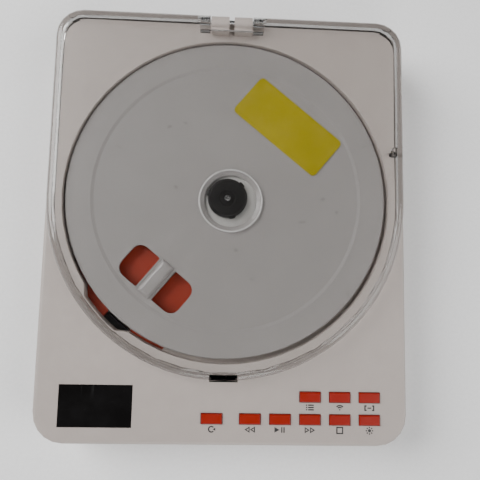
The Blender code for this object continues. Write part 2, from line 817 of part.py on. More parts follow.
def lid_outline(inset):
    """The lid from above: half round in front, square with round corners behind."""
    half = LID_HALF_WIDTH - inset
    corner = LID_CORNER - inset
    back = LID_BACK_Y - inset
    points = arc((0.0, LID_ARC_Y), half, math.pi, 2 * math.pi, LID_ARC_STEPS)
    points += arc((half - corner, back - corner), corner, 0.0, math.pi / 2, CORNER_STEPS)
    points += arc((corner - half, back - corner), corner, math.pi / 2, math.pi, CORNER_STEPS)
    return points


def notch_outline(grow):
    """The finger notch at the well's edge, with sloping ends, grown by a wall."""
    spindle = (0.0, SPINDLE_Y)
    turn = grow / NOTCH_RADIUS
    outer = arc(
        spindle,
        NOTCH_RADIUS + grow,
        NOTCH_START + NOTCH_SLOPE - turn,
        NOTCH_END - NOTCH_SLOPE + turn,
        CORNER_STEPS,
    )
    inner = arc(
        spindle,
        WELL_RADIUS + min(grow, 0.0) - SINK,
        NOTCH_END + turn,
        NOTCH_START - turn,
        CORNER_STEPS,
    )
    return outer + inner


def opening_outline():
    """The drive's opening in the well floor, in the drive's frame."""
    radius = WELL_RADIUS + WELL_WALL / 2
    right = math.asin(OPENING_RIGHT / radius)
    left = -math.asin(OPENING_LEFT / radius)
    points = arc((0.0, 0.0), radius, left, right, LID_ARC_STEPS // 4)
    points.append((-OPENING_BACK, OPENING_RIGHT))
    points.append((-OPENING_BACK, -OPENING_LEFT))
    return points


def tooth_half_angle(teeth, radius, pitch_radius):
    """Half of an involute tooth's angle at a radius."""
    base = pitch_radius * math.cos(GEAR_PRESSURE_ANGLE)
    slope = math.acos(min(1.0, base / radius))
    at_pitch = math.pi / (2 * teeth) * GEAR_TOOTH_SHARE
    involute_at_pitch = math.tan(GEAR_PRESSURE_ANGLE) - GEAR_PRESSURE_ANGLE
    return at_pitch + involute_at_pitch - (math.tan(slope) - slope)


def gear_outline(teeth, module, first_tooth, centre=(0.0, 0.0)):
    """An involute gear's outline, with one tooth centred at the angle first_tooth."""
    pitch_radius = teeth * module / 2
    base = pitch_radius * math.cos(GEAR_PRESSURE_ANGLE)
    tip = pitch_radius + GEAR_ADDENDUM_SHARE * module
    root = pitch_radius - GEAR_DEDENDUM_SHARE * module
    lowest = max(base, root)
    radii = [lowest + (tip - lowest) * i / GEAR_FLANK_STEPS for i in range(GEAR_FLANK_STEPS + 1)]
    flank = [(radius, tooth_half_angle(teeth, radius, pitch_radius)) for radius in radii]
    if root < base:
        flank.insert(0, (root, flank[0][1]))
    points = []
    for tooth in range(teeth):
        middle = first_tooth + 2 * math.pi * tooth / teeth
        points += [(radius, middle - half) for radius, half in flank]
        points += [(radius, middle + half) for radius, half in reversed(flank)]
    x, y = centre
    return [(x + r * math.cos(a), y + r * math.sin(a)) for r, a in points]


# Case


def case_prism(name, inset, low, high):
    outline = rounded_rectangle(
        CASE_WIDTH - 2 * inset, CASE_DEPTH - 2 * inset, CASE_CORNER - inset
    )
    return plate(name, [outline], low, high)


def case_screw_places():
    sides = (-CASE_SCREW_X, CASE_SCREW_X)
    return [(x, y) for x in sides for y in (CASE_SCREW_FRONT_Y, CASE_SCREW_BACK_Y)]


def main_post_places():
    front = MAIN_BOARD_FRONT_Y + BOARD_POST_INSET
    back = MAIN_BOARD_BACK_Y - BOARD_POST_INSET
    return [(x, y) for x in (-BOARD_POST_X, BOARD_POST_X) for y in (front, back)]


def key_post_places():
    front = KEY_BOARD_FRONT_Y + BOARD_POST_RADIUS
    back = KEY_BOARD_BACK_Y - BOARD_POST_RADIUS
    places = [(x, front) for x in KEY_POST_FRONT_X]
    places += [(x, back) for x in KEY_POST_BACK_X]
    return places


def ear_places_in_player():
    turn = Matrix.Rotation(DRIVE_ANGLE, 2)
    places = []
    for place in EAR_PLACES:
        x = turn[0][0] * place[0] + turn[0][1] * place[1]
        y = turn[1][0] * place[0] + turn[1][1] * place[1]
        places.append((x, SPINDLE_Y + y))
    return places


def battery_ribs():
    """Two long ribs on the floor, one on each side of the battery."""
    gap = SEAT_GAP + BATTERY_RIB
    low_y = BATTERY_LOW[1]
    high_y = BATTERY_HIGH[1]
    top = FLOOR + BATTERY_RIB_HEIGHT
    left = box(
        "battery_rib_left",
        (BATTERY_LOW[0] - gap, low_y, FLOOR - SINK),
        (BATTERY_LOW[0] - SEAT_GAP, high_y, top),
    )
    right = box(
        "battery_rib_right",
        (BATTERY_HIGH[0] + SEAT_GAP, low_y, FLOOR - SINK),
        (BATTERY_HIGH[0] + gap, high_y, top),
    )
    return [left, right]


def bottom_case():
    shell = case_prism("bottom_case", 0.0, UNDERSIDE, PARTING)
    round_edges(shell, CASE_EDGE, 2, at_height(UNDERSIDE))
    cut(shell, case_prism("floor_space", CASE_WALL, FLOOR, PARTING + OVERRUN))
    for i, place in enumerate(case_screw_places()):
        unite(shell, cylinder(f"sleeve_{i}", SLEEVE_RADIUS, FLOOR - SINK, SLEEVE_TOP, place))
    for i, place in enumerate(main_post_places()):
        top = MAIN_BOARD_BOTTOM - SEAT_GAP
        pin_top = MAIN_BOARD_TOP + POST_PIN_END
        unite(
            shell,
            cylinder(f"board_post_{i}", BOARD_POST_RADIUS, FLOOR - SINK, top, place),
            cylinder(f"board_pin_{i}", POST_PIN_RADIUS, top - SINK, pin_top, place),
        )
    for i, place in enumerate(ear_places_in_player()):
        pin_radius = DAMPER_BORE_RADIUS - SEAT_GAP
        pin_top = WELL_UNDERSIDE - SEAT_GAP
        unite(
            shell,
            cylinder(f"drive_post_{i}", MOUNT_POST_RADIUS, FLOOR - SINK, MOUNT_POST_TOP, place),
            cylinder(f"drive_pin_{i}", pin_radius, MOUNT_POST_TOP - SINK, pin_top, place),
        )
    unite(shell, *battery_ribs())
    for i, place in enumerate(case_screw_places()):
        head = SCREW_HEAD_RADIUS + SEAT_GAP
        cut(
            shell,
            cylinder(f"head_hole_{i}", head, UNDERSIDE - OVERRUN, CASE_SCREW_SEAT + SCREW_HEAD, place),
            cylinder(f"shank_hole_{i}", SCREW_RADIUS + SEAT_GAP, FLOOR, SLEEVE_TOP + OVERRUN, place),
        )
    for i, place in enumerate(foot_places()):
        recess = FOOT_HEIGHT + SEAT_GAP
        cut(shell, cylinder(
            f"foot_recess_{i}", FOOT_RADIUS + SEAT_GAP, 0.0, recess, place, ROUND_SIDES
        ))
    cut(shell, *socket_holes())
    return finished(shell, white_plastic)


def socket_holes():
    """The holes for the headphone jack on the right, and socket and switch on the left."""
    jack = cross_cylinder(
        "jack_hole", JACK_NOSE_RADIUS + SEAT_GAP, CASE_SIDE_X - CASE_WALL - OVERRUN,
        CASE_SIDE_X + OVERRUN, JACK_Y, PART_HEIGHT + JACK_HEIGHT / 2, ROUND_SIDES,
    )
    usb = rounded_side_box("socket_hole", USB_Y, USB_WIDTH, USB_HEIGHT, PART_HEIGHT)
    knob_low = PART_HEIGHT + (POWER_BODY_HEIGHT - POWER_KNOB_HEIGHT) / 2
    power = box(
        "power_hole",
        (-CASE_SIDE_X - OVERRUN, POWER_Y - POWER_KNOB_DEPTH / 2 - SEAT_GAP, knob_low - SEAT_GAP),
        (
            -CASE_SIDE_X + CASE_WALL + OVERRUN,
            POWER_Y + POWER_KNOB_DEPTH / 2 + POWER_TRAVEL + SEAT_GAP,
            knob_low + POWER_KNOB_HEIGHT + SEAT_GAP,
        ),
    )
    return [jack, usb, power]


def rounded_side_box(name, y, width, height, low):
    """A round-ended hole through the left wall, with a seat's gap all round."""
    radius = height / 2 + SEAT_GAP
    outline = rounded_rectangle(height + 2 * SEAT_GAP, width + 2 * SEAT_GAP, radius)
    depth = CASE_WALL + 2 * OVERRUN
    hole = plate(name, [outline], -depth / 2, depth / 2)
    turn = Matrix.Rotation(math.radians(90), 4, "Y")
    shift = Matrix.Translation((-CASE_SIDE_X + CASE_WALL / 2, y, low + height / 2))
    hole.data.transform(shift @ turn)
    return hole


def foot_places():
    return [(x, y) for x in (-FOOT_X, FOOT_X) for y in (-FOOT_Y, FOOT_Y)]


def button_places():
    """The middles of the nine buttons, the lower row first."""
    back = BUTTON_ROW_Y + BUTTON_ROW_PITCH
    columns = [BUTTON_FIRST_X + BUTTON_PITCH * i for i in range(BUTTON_COLUMNS)]
    places = [("button_mode", (MODE_BUTTON_X, BUTTON_ROW_Y))]
    names = ("button_previous", "button_play", "button_next", "button_stop", "button_light")
    places += [(name, (x, BUTTON_ROW_Y)) for name, x in zip(names, columns)]
    upper = ("button_program", "button_wireless", "button_section")
    places += [(name, (x, back)) for name, x in zip(upper, columns[2:])]
    return places


def well_and_floor(shell):
    """Adds the disc well's wall and floor, with the drive's opening and the finger notch."""
    spindle = (0.0, SPINDLE_Y)
    floor = cylinder(
        "well_floor", WELL_RADIUS + WELL_WALL / 3, WELL_UNDERSIDE, WELL_TOP, spindle, FINE_SIDES
    )
    opening = plate(
        "drive_opening", [opening_outline()], WELL_UNDERSIDE - OVERRUN, WELL_TOP + OVERRUN
    )
    opening.data.transform(drive_matrix())
    cut(floor, opening)
    bpy.context.view_layer.update()
    baked(floor)
    top = DECK_UNDERSIDE + SINK
    wall = cylinder("well_wall", WELL_OUTER, WELL_UNDERSIDE, top, spindle, FINE_SIDES)
    notch_wall = plate("notch_wall", [notch_outline(WELL_WALL)], WELL_UNDERSIDE, top)
    space = cylinder(
        "well_space", WELL_RADIUS, WELL_UNDERSIDE - OVERRUN, DECK + OVERRUN, spindle, FINE_SIDES
    )
    notch = plate(
        "finger_notch", [notch_outline(0.0)], WELL_UNDERSIDE - OVERRUN, DECK + OVERRUN
    )
    unite(shell, wall, notch_wall)
    cut(shell, space)
    unite(shell, floor)
    cut(shell, notch)


def drive_matrix():
    return Matrix.Translation((0.0, SPINDLE_Y, 0.0)) @ Matrix.Rotation(DRIVE_ANGLE, 4, "Z")


def hinge_posts():
    """Two posts on the deck that carry the hinge pin between the lid's knuckles."""
    outer = KNUCKLE_INNER_X - SEAT_GAP
    posts = []
    for side in (-1, 1):
        near = side * POST_INNER_X
        far = side * outer
        low_x = min(near, far)
        high_x = max(near, far)
        back = HINGE_Y + POST_RADIUS
        body = box(
            f"hinge_post_{side}",
            (low_x, back - POST_DEPTH, DECK_UNDERSIDE + SINK),
            (high_x, back, HINGE_Z),
        )
        crown = cross_cylinder(
            f"hinge_crown_{side}", POST_RADIUS, low_x, high_x, HINGE_Y, HINGE_Z, SMALL_SIDES
        )
        posts += [body, crown]
    return posts


def catch_rails():
    """Two rails under the deck that guide the catch."""
    inner = CATCH_WIDTH / 2 + GUIDE_GAP
    rails = []
    for side in (-1, 1):
        centre = (side * (inner + CATCH_RAIL / 2), CATCH_TIP_Y - CATCH_LENGTH / 2)
        rails.append(
            block(
                f"catch_rail_{side}", centre, CATCH_RAIL, CATCH_LENGTH,
                CATCH_BOTTOM - SEAT_GAP, DECK_UNDERSIDE + SINK,
            )
        )
    return rails


def top_case():
    shell = case_prism("top_case", 0.0, TOP_CASE_BOTTOM, DECK)
    round_edges(shell, CASE_EDGE, 3, at_height(DECK))
    cut(shell, case_prism("deck_space", CASE_WALL, TOP_CASE_BOTTOM - OVERRUN, DECK_UNDERSIDE))
    well_and_floor(shell)
    unite(shell, *hinge_posts())
    unite(shell, *catch_rails())
    low = SLEEVE_TOP + SEAT_GAP
    for i, place in enumerate(case_screw_places()):
        unite(shell, cylinder(f"boss_{i}", CASE_BOSS_RADIUS, low, DECK_UNDERSIDE + SINK, place))
    key_low = KEY_BOARD_TOP + SEAT_GAP
    for i, place in enumerate(key_post_places()):
        pin_low = KEY_BOARD_BOTTOM - POST_PIN_END
        unite(
            shell,
            cylinder(f"key_post_{i}", BOARD_POST_RADIUS, key_low, DECK_UNDERSIDE + SINK, place),
            cylinder(f"key_pin_{i}", POST_PIN_RADIUS, pin_low, key_low + SINK, place),
        )
    for i, place in enumerate(case_screw_places()):
        end = CASE_SCREW_SEAT + SCREW_HEAD + CASE_SCREW_LENGTH + SEAT_GAP
        cut(shell, cylinder(f"boss_bore_{i}", SCREW_RADIUS + SEAT_GAP, low - OVERRUN, end, place))
    cut(shell, *deck_holes())
    bore = cross_cylinder(
        "post_bore", PIN_BORE, -KNUCKLE_INNER_X, KNUCKLE_INNER_X, HINGE_Y, HINGE_Z
    )
    cut(shell, bore)
    return finished(shell, white_plastic)


def deck_holes():
    """The window's recess, the buttons' holes, the catch slot and the lid switch's hole."""
    centre = (WINDOW_X, WINDOW_Y)
    recess = block(
        "window_recess", centre, WINDOW_WIDTH + 2 * WINDOW_GAP, WINDOW_DEPTH + 2 * WINDOW_GAP,
        DECK - WINDOW_THICKNESS - SEAT_GAP, DECK + OVERRUN,
    )
    sight = block(
        "window_sight", centre, WINDOW_WIDTH - 2 * WINDOW_LEDGE, WINDOW_DEPTH - 2 * WINDOW_LEDGE,
        DECK_UNDERSIDE - OVERRUN, DECK,
    )
    holes = [recess, sight]
    for name, place in button_places():
        holes.append(
            block(
                name + "_hole", place, BUTTON_WIDTH + 2 * GUIDE_GAP, BUTTON_DEPTH + 2 * GUIDE_GAP,
                DECK_UNDERSIDE - OVERRUN, DECK + OVERRUN,
            )
        )
    slot_front = HOOK_FRONT_Y - HOOK_BARB - CATCH_SLOT_FRONT
    holes.append(
        box(
            "catch_slot",
            (-CATCH_SLOT_WIDTH / 2, slot_front, DECK_UNDERSIDE - OVERRUN),
            (CATCH_SLOT_WIDTH / 2, slot_front + CATCH_SLOT_DEPTH, DECK + OVERRUN),
        )
    )
    holes.append(
        cylinder(
            "switch_hole", SWITCH_PIN_RADIUS + GUIDE_GAP, DECK_UNDERSIDE - OVERRUN,
            DECK + OVERRUN, (SWITCH_X, SWITCH_Y),
        )
    )
    return holes


def display_window():
    window = block(
        "display_window", (WINDOW_X, WINDOW_Y), WINDOW_WIDTH, WINDOW_DEPTH,
        DECK - WINDOW_THICKNESS, DECK,
    )
    return finished(window, glossy_black)


def rubber_feet():
    for i, place in enumerate(foot_places()):
        foot = cylinder(f"rubber_foot_{i + 1}", FOOT_RADIUS, 0.0, FOOT_HEIGHT, place, ROUND_SIDES)
        round_edges(foot, FOOT_EDGE, 1, at_height(0.0))
        finished(foot, black_rubber)


# Lid


def lid():
    """The clear lid, with its knuckles, its hook and the tab over the lid switch."""
    cover = plate("lid", [lid_outline(0.0)], LID_BOTTOM, LID_CREST)
    round_edges(cover, LID_EDGE, 4, at_height(LID_CREST))
    space = plate("lid_space", [lid_outline(LID_WALL)], LID_BOTTOM - OVERRUN, LID_CEILING)
    round_edges(space, LID_EDGE / 2, 2, at_height(LID_CEILING))
    cut(cover, space)
    notch = box(
        "hinge_notch",
        (-KNUCKLE_INNER_X, LID_BACK_Y - HINGE_NOTCH_DEPTH, LID_BOTTOM - OVERRUN),
        (KNUCKLE_INNER_X, LID_BACK_Y + OVERRUN, LID_CREST + OVERRUN),
    )
    lift = box(
        "back_lift",
        (-LID_HALF_WIDTH, HINGE_Y - LID_BACK_LIFT, LID_BOTTOM - OVERRUN),
        (LID_HALF_WIDTH, LID_BACK_Y + OVERRUN, LID_BOTTOM + LID_BACK_LIFT),
    )
    cut(cover, notch, lift)
    unite(cover, *lid_knuckles())
    unite(cover, *lid_hook(), switch_tab())
    cut(cover, cross_cylinder(
        "knuckle_bore", PIN_BORE, -KNUCKLE_OUTER_X - OVERRUN, KNUCKLE_OUTER_X + OVERRUN,
        HINGE_Y, HINGE_Z,
    ))
    finished(cover, clear_plastic)
    hold_in_place(add_axis("lid_hinge_axis", (0.0, HINGE_Y, HINGE_Z)), cover)
    return cover


def lid_knuckles():
    forms = []
    for side in (-1, 1):
        low_x = min(side * KNUCKLE_INNER_X, side * KNUCKLE_OUTER_X)
        high_x = max(side * KNUCKLE_INNER_X, side * KNUCKLE_OUTER_X)
        forms.append(cross_cylinder(
            f"knuckle_{side}", KNUCKLE_RADIUS, low_x, high_x, HINGE_Y, HINGE_Z, SMALL_SIDES
        ))
        forms.append(box(
            f"knuckle_lug_{side}",
            (low_x, HINGE_Y - KNUCKLE_LUG, HINGE_Z - KNUCKLE_LUG_DROP),
            (high_x, HINGE_Y, LID_CEILING + SINK),
        ))
    return forms


def lid_hook():
    """The hook hangs from the front wall through the slot, its barb facing forward."""
    half = HOOK_WIDTH / 2
    stem = box(
        "hook_stem",
        (-half, HOOK_FRONT_Y, HOOK_BOTTOM),
        (half, HOOK_FRONT_Y + HOOK_THICKNESS, LID_BOTTOM + OVERRUN),
    )
    barb = box(
        "hook_barb",
        (-half, HOOK_FRONT_Y - HOOK_BARB, HOOK_BOTTOM),
        (half, HOOK_FRONT_Y + SINK, HOOK_BOTTOM + HOOK_BARB_HEIGHT),
    )
    return [stem, barb]


def switch_tab():
    """The tab under the lid that stands over the lid switch's pin."""
    return box(
        "switch_tab",
        (
            SWITCH_X - SWITCH_PIN_RADIUS,
            SWITCH_Y - SWITCH_TAB_DEPTH / 2,
            DECK + SWITCH_PIN_RISE + SEAT_GAP,
        ),
        (
            LID_HALF_WIDTH - LID_WALL + SINK,
            SWITCH_Y + SWITCH_TAB_DEPTH / 2,
            LID_CEILING + SINK,
        ),
    )


def hinge_pin():
    half = KNUCKLE_OUTER_X - PIN_INSET
    pin = cross_cylinder("hinge_pin", PIN_RADIUS, -half, half, HINGE_Y, HINGE_Z)
    return finished(pin, steel)


def lid_catch():
    """The sprung catch that bites over the hook's barb."""
    top = DECK_UNDERSIDE - SEAT_GAP
    half = CATCH_WIDTH / 2
    catch = box(
        "lid_catch",
        (-half, CATCH_TIP_Y - CATCH_LENGTH, CATCH_BOTTOM),
        (half, CATCH_TIP_Y, top),
    )
    tip = sharp_and(lambda point: point.y > CATCH_TIP_Y - WELD_DISTANCE)
    round_edges(catch, CATCH_BITE, 1, tip)
    finished(catch, black_plastic)
    hold_in_place(add_axis("catch_axis", (0.0, CATCH_TIP_Y, CATCH_BOTTOM)), catch)
    return catch


def lid_switch():
    """The lid switch: a body under the deck and the pin that stands beside the well."""
    top = DECK_UNDERSIDE - SEAT_GAP
    centre = (SWITCH_X + SWITCH_BODY_SHIFT, SWITCH_Y)
    body = block(
        "lid_switch_body", centre, SWITCH_BODY_WIDTH, SWITCH_BODY_DEPTH,
        top - SWITCH_BODY_HEIGHT, top,
    )
    place = (SWITCH_X, SWITCH_Y)
    floor = top - SWITCH_PIN_HOLE_DEPTH
    cut(body, cylinder(
        "switch_well", SWITCH_PIN_RADIUS + GUIDE_GAP, floor, top + OVERRUN, place
    ))
    pin = cylinder(
        "lid_switch_pin", SWITCH_PIN_RADIUS, floor + OVERRUN, DECK + SWITCH_PIN_RISE, place
    )
    round_edges(pin, SWITCH_PIN_RADIUS / 3, 2, at_height(DECK + SWITCH_PIN_RISE))
    finished(body, black_plastic)
    finished(pin, black_plastic)
    hold_in_place(add_axis("lid_switch_axis", (*place, DECK)), pin)


# Buttons


def button_mesh():
    """One button about its own middle on the deck: cap, flange under the deck and stem."""
    flange_top = -DECK_THICKNESS - SEAT_GAP
    flange_bottom = flange_top - BUTTON_FLANGE_THICKNESS
    here = (0.0, 0.0)
    cap = block("button", here, BUTTON_WIDTH, BUTTON_DEPTH, flange_bottom, BUTTON_RISE)
    round_edges(cap, BUTTON_EDGE, 1, sharp_and(lambda point: point.z > 0.0))
    flange = block(
        "button_flange", here, BUTTON_WIDTH + 2 * BUTTON_FLANGE, BUTTON_DEPTH + 2 * BUTTON_FLANGE,
        flange_bottom, flange_top,
    )
    stem = cylinder(
        "button_stem", BUTTON_STEM_RADIUS, flange_bottom - BUTTON_STEM, flange_bottom + SINK
    )
    unite(cap, flange, stem)
    bpy.context.view_layer.update()
    baked(cap)
    mesh = cap.data
    bpy.data.objects.remove(cap)
    return mesh


def buttons():
    mesh = button_mesh()
    for name, (x, y) in button_places():
        button = add_object(name, mesh.copy())
        finished(button, orange_plastic)
        button.location = (x, y, DECK)


# Transport card and sticker


def card_profile():
    slope_out = CARD_DISH_RADIUS + CARD_DISH_SLOPE
    inner_skirt = CARD_RADIUS - CARD_SKIRT_WALL
    return [
        (0.0, CARD_FACE),
        (CARD_DISH_RADIUS, CARD_FACE),
        (slope_out, CARD_TOP),
        (CARD_RADIUS - CARD_EDGE, CARD_TOP),
        (CARD_RADIUS, CARD_TOP - CARD_EDGE),
        (CARD_RADIUS, CARD_BOTTOM),
        (inner_skirt, CARD_BOTTOM),
        (inner_skirt, CARD_UNDERSIDE),
        (0.0, CARD_UNDERSIDE),
    ]


def card_ring(centre):
    """The raised ring round the hub hole, which slopes down to the hole."""
    crest = CARD_FACE + RING_RISE
    profile = [
        (CARD_HOLE_RADIUS, CARD_FACE - RING_DIP),
        (RING_CREST_RADIUS - RING_ROUND, crest - RING_ROUND),
        (RING_CREST_RADIUS, crest),
        (RING_RADIUS - RING_ROUND, crest - RING_ROUND),
        (RING_RADIUS, CARD_FACE),
        (RING_RADIUS, CARD_UNDERSIDE),
        (CARD_HOLE_RADIUS, CARD_UNDERSIDE),
    ]
    return turned("card_ring", profile, ROUND_SIDES, centre, closed=True)


def grip_windows(low, high):
    """The two finger windows, one on each side of the grip bar, in the card's frame."""
    start = GRIP_RADIUS - GRIP_LENGTH / 2
    end = GRIP_RADIUS + GRIP_LENGTH / 2
    near = GRIP_BRIDGE / 2
    far = GRIP_SPAN / 2
    big = GRIP_CORNER
    small = GRIP_INNER_CORNER
    right = rounded_box((start, near), (end, far), (small, small, big, big), 4)
    left = rounded_box((start, -far), (end, -near), (big, big, small, small), 4)
    return [
        plate("grip_window_right", [right], low, high),
        plate("grip_window_left", [left], low, high),
    ]


def grip_bar():
    bar = block(
        "grip_bar", (GRIP_RADIUS, 0.0), GRIP_LENGTH + 2 * GRIP_BAR_OVERLAP, GRIP_BAR_WIDTH,
        CARD_FACE - SINK, CARD_FACE + GRIP_BAR_RISE,
    )
    crown = sharp_and(lambda point: point.z > CARD_FACE)
    return round_edges(bar, GRIP_BAR_EDGE - WELD_DISTANCE, 3, crown)


def transport_card():
    frame = add_axis("card_frame", (CARD_X, CARD_Y, 0.0), CARD_ANGLE)
    card = turned("transport_card", card_profile(), FINE_SIDES)
    low = CARD_BOTTOM - OVERRUN
    high = CARD_TOP + GRIP_BAR_RISE + OVERRUN
    turn = Matrix.Rotation(-CARD_ANGLE, 2)
    shift_x = CARD_HOLE_SHIFT_X - CARD_SHIFT_X
    shift_y = CARD_HOLE_SHIFT_Y - CARD_SHIFT_Y
    hole = (
        turn[0][0] * shift_x + turn[0][1] * shift_y,
        turn[1][0] * shift_x + turn[1][1] * shift_y,
    )
    middle = (CARD_HOLE_RADIUS + RING_CREST_RADIUS) / 2
    cut(card, cylinder("hub_hole", middle, low, high, hole, ROUND_SIDES))
    unite(card, card_ring(hole))
    cut(card, *grip_windows(low, high))
    unite(card, grip_bar())
    finished(card, card_plastic)
    sticker_base = CARD_FACE + STICKER_GAP
    outline = rounded_rectangle(
        STICKER_WIDTH, STICKER_LENGTH, STICKER_CORNER, (-STICKER_RADIUS, 0.0), 3
    )
    sticker = plate("card_sticker", [outline], sticker_base, sticker_base + STICKER_THICKNESS)
    finished(sticker, yellow_film)
    hold(frame, card, sticker)


# Turntable


def turntable():
    """The turntable, its black hub with three claws, and the spindle shaft."""
    frame = add_axis("spindle_axis", (0.0, SPINDLE_Y, 0.0))
    base = SEAT - TURNTABLE_THICKNESS
    bore = SHAFT_RADIUS + GUIDE_GAP
    boss_bottom = base - TURNTABLE_BOSS
    profile = [
        (bore, SEAT),
        (TURNTABLE_RADIUS, SEAT),
        (TURNTABLE_RADIUS, base),
        (TURNTABLE_RADIUS - TURNTABLE_RIM, base),
        (TURNTABLE_BOSS_RADIUS, base),
        (TURNTABLE_BOSS_RADIUS, boss_bottom),
        (bore, boss_bottom),
    ]
    table = turned("turntable", profile, ROUND_SIDES, closed=True)
    finished(table, natural_plastic)
    hub_bottom = SEAT + SEAT_GAP
    hub_profile = [
        (bore, HUB_TOP - HUB_DISH),
        (HUB_DISH_RADIUS - HUB_DISH, HUB_TOP - HUB_DISH),
        (HUB_DISH_RADIUS, HUB_TOP),
        (HUB_RADIUS - HUB_CHAMFER, HUB_TOP),
        (HUB_RADIUS, HUB_TOP - HUB_CHAMFER),
        (HUB_RADIUS, hub_bottom),
        (bore, hub_bottom),
    ]
    hub = turned("disc_hub", hub_profile, ROUND_SIDES, closed=True)
    pockets = []
    for i in range(CLAW_COUNT):
        pocket = claw_form(f"claw_pocket_{i}", GUIDE_GAP, 0.0)
        pocket.data.transform(Matrix.Rotation(claw_angle(i), 4, "Z"))
        pockets.append(pocket)
    cut(hub, *pockets)
    finished(hub, black_plastic)
    shaft = cylinder(
        "spindle_shaft", SHAFT_RADIUS, MOTOR_TOP - SHAFT_DEPTH, HUB_TOP - HUB_DISH + SHAFT_TIP
    )
    round_edges(shaft, SHAFT_TIP, 1, at_height(HUB_TOP - HUB_DISH + SHAFT_TIP))
    finished(shaft, steel)
    hold(frame, table, hub, shaft)
    for i in range(CLAW_COUNT):
        claw = claw_form(f"hub_claw_{i + 1}", 0.0, CLAW_EDGE)
        finished(claw, black_plastic)
        hold(add_axis(f"claw_axis_{i + 1}", (0.0, SPINDLE_Y, 0.0), claw_angle(i)), claw)


def claw_angle(i):
    return CLAW_FIRST_ANGLE + 2 * math.pi * i / CLAW_COUNT


def claw_form(name, grow, edge):
    """A claw that points out along X, or with grow the pocket that it slides in."""
    low = SEAT + CLAW_SEAT_RISE
    reach = HUB_RADIUS + CLAW_REACH
    claw = box(
        name,
        (reach - CLAW_LENGTH - 3 * grow, -CLAW_WIDTH / 2 - grow, low - grow),
        (reach + grow, CLAW_WIDTH / 2 + grow, low + CLAW_HEIGHT + grow),
    )
    if edge > 0.0:
        nose = sharp_and(lambda point: point.x > reach - WELD_DISTANCE)
        round_edges(claw, edge, 2, nose)
    return claw


# Disc drive


def drive_cover():
    outline = rounded_box(
        (-OPENING_BACK - COVER_MARGIN, -OPENING_LEFT - COVER_MARGIN),
        (COVER_OUTER_X, OPENING_RIGHT + COVER_MARGIN),
        (COVER_CORNER,) * 4,
    )
    hub_hole = circle((0.0, 0.0), COVER_HOLE_RADIUS, ROUND_SIDES)
    cover = plate("drive_cover", [outline, hub_hole], COVER_BOTTOM, COVER_TOP)
    low = COVER_BOTTOM - OVERRUN
    high = COVER_TOP + OVERRUN
    half = LENS_SLOT_WIDTH / 2
    end_half = LENS_SLOT_END_WIDTH / 2
    past = COVER_OUTER_X + OVERRUN
    slot = plate(
        "lens_slot",
        [[
            (LENS_SLOT_START, -half),
            (LENS_SLOT_END_START, -half),
            (LENS_SLOT_END_START + end_half - half, -end_half),
            (past, -end_half),
            (past, end_half),
            (LENS_SLOT_END_START + end_half - half, end_half),
            (LENS_SLOT_END_START, half),
            (LENS_SLOT_START, half),
        ]],
        low, high,
    )
    cut(cover, slot)
    return finished(cover, orange_plastic)


def chassis_ears():
    """Three ears with a round end, each on the rubber damper that carries it."""
    forms = []
    for i, (x, y) in enumerate(EAR_PLACES):
        edge = CHASSIS_RIGHT - OVERRUN if y > 0 else OVERRUN - CHASSIS_LEFT
        forms.append(cylinder(
            f"ear_end_{i}", EAR_RADIUS, CHASSIS_BOTTOM, CHASSIS_TOP, (x, y)
        ))
        forms.append(box(
            f"ear_arm_{i}",
            (x - EAR_RADIUS, min(edge, y), CHASSIS_BOTTOM),
            (x + EAR_RADIUS, max(edge, y), CHASSIS_TOP),
        ))
    return forms


def rod_lugs():
    forms = []
    for i, y in enumerate((MAIN_ROD_Y, SIDE_ROD_Y)):
        for k, x in enumerate((LUG_INNER_X, LUG_OUTER_X)):
            forms.append(box(
                f"rod_lug_{i}{k}",
                (x, y - LUG_WIDTH / 2, LUG_BOTTOM),
                (x + LUG_LENGTH, y + LUG_WIDTH / 2, CHASSIS_BOTTOM + SINK),
            ))
    return forms


def rod_span():
    """The guide rods' two ends, inside the outer faces of their lugs."""
    return LUG_INNER_X + SEAT_GAP, LUG_OUTER_X + LUG_LENGTH - SEAT_GAP


def drive_chassis():
    outline = rounded_box(
        (-CHASSIS_BACK, -CHASSIS_LEFT), (CHASSIS_OUTER_X, CHASSIS_RIGHT), (COVER_CORNER,) * 4
    )
    window = rounded_box(
        (CHASSIS_WINDOW_START, -CHASSIS_WINDOW_LEFT),
        (CHASSIS_WINDOW_END, CHASSIS_WINDOW_RIGHT),
        (HOLDER_EDGE,) * 4,
        2,
    )
    hub_hole = circle((0.0, 0.0), CHASSIS_BOSS_HOLE, SMALL_SIDES)
    chassis = plate(
        "drive_chassis", [outline, window, hub_hole], CHASSIS_BOTTOM, CHASSIS_TOP
    )
    unite(chassis, *chassis_ears())
    unite(chassis, *rod_lugs())
    for i, place in enumerate(EAR_PLACES):
        cut(chassis, cylinder(
            f"ear_hole_{i}", EAR_HOLE_RADIUS, CHASSIS_BOTTOM - OVERRUN, CHASSIS_TOP + OVERRUN, place
        ))
    start, end = rod_span()
    for i, y in enumerate((MAIN_ROD_Y, SIDE_ROD_Y)):
        cut(chassis, cross_cylinder(
            f"rod_bore_{i}", ROD_RADIUS + GUIDE_GAP, start - SEAT_GAP, end + SEAT_GAP, y, ROD_HEIGHT
        ))
    pilot_top = CHASSIS_BOTTOM + CHASSIS_THICKNESS / 2
    cut(chassis, cylinder(
        "gear_shaft_bore", GEAR_SHAFT_RADIUS + GUIDE_GAP, CHASSIS_BOTTOM - OVERRUN, pilot_top,
        (GEAR_X, GEAR_Y),
    ))
    return finished(chassis, black_plastic)


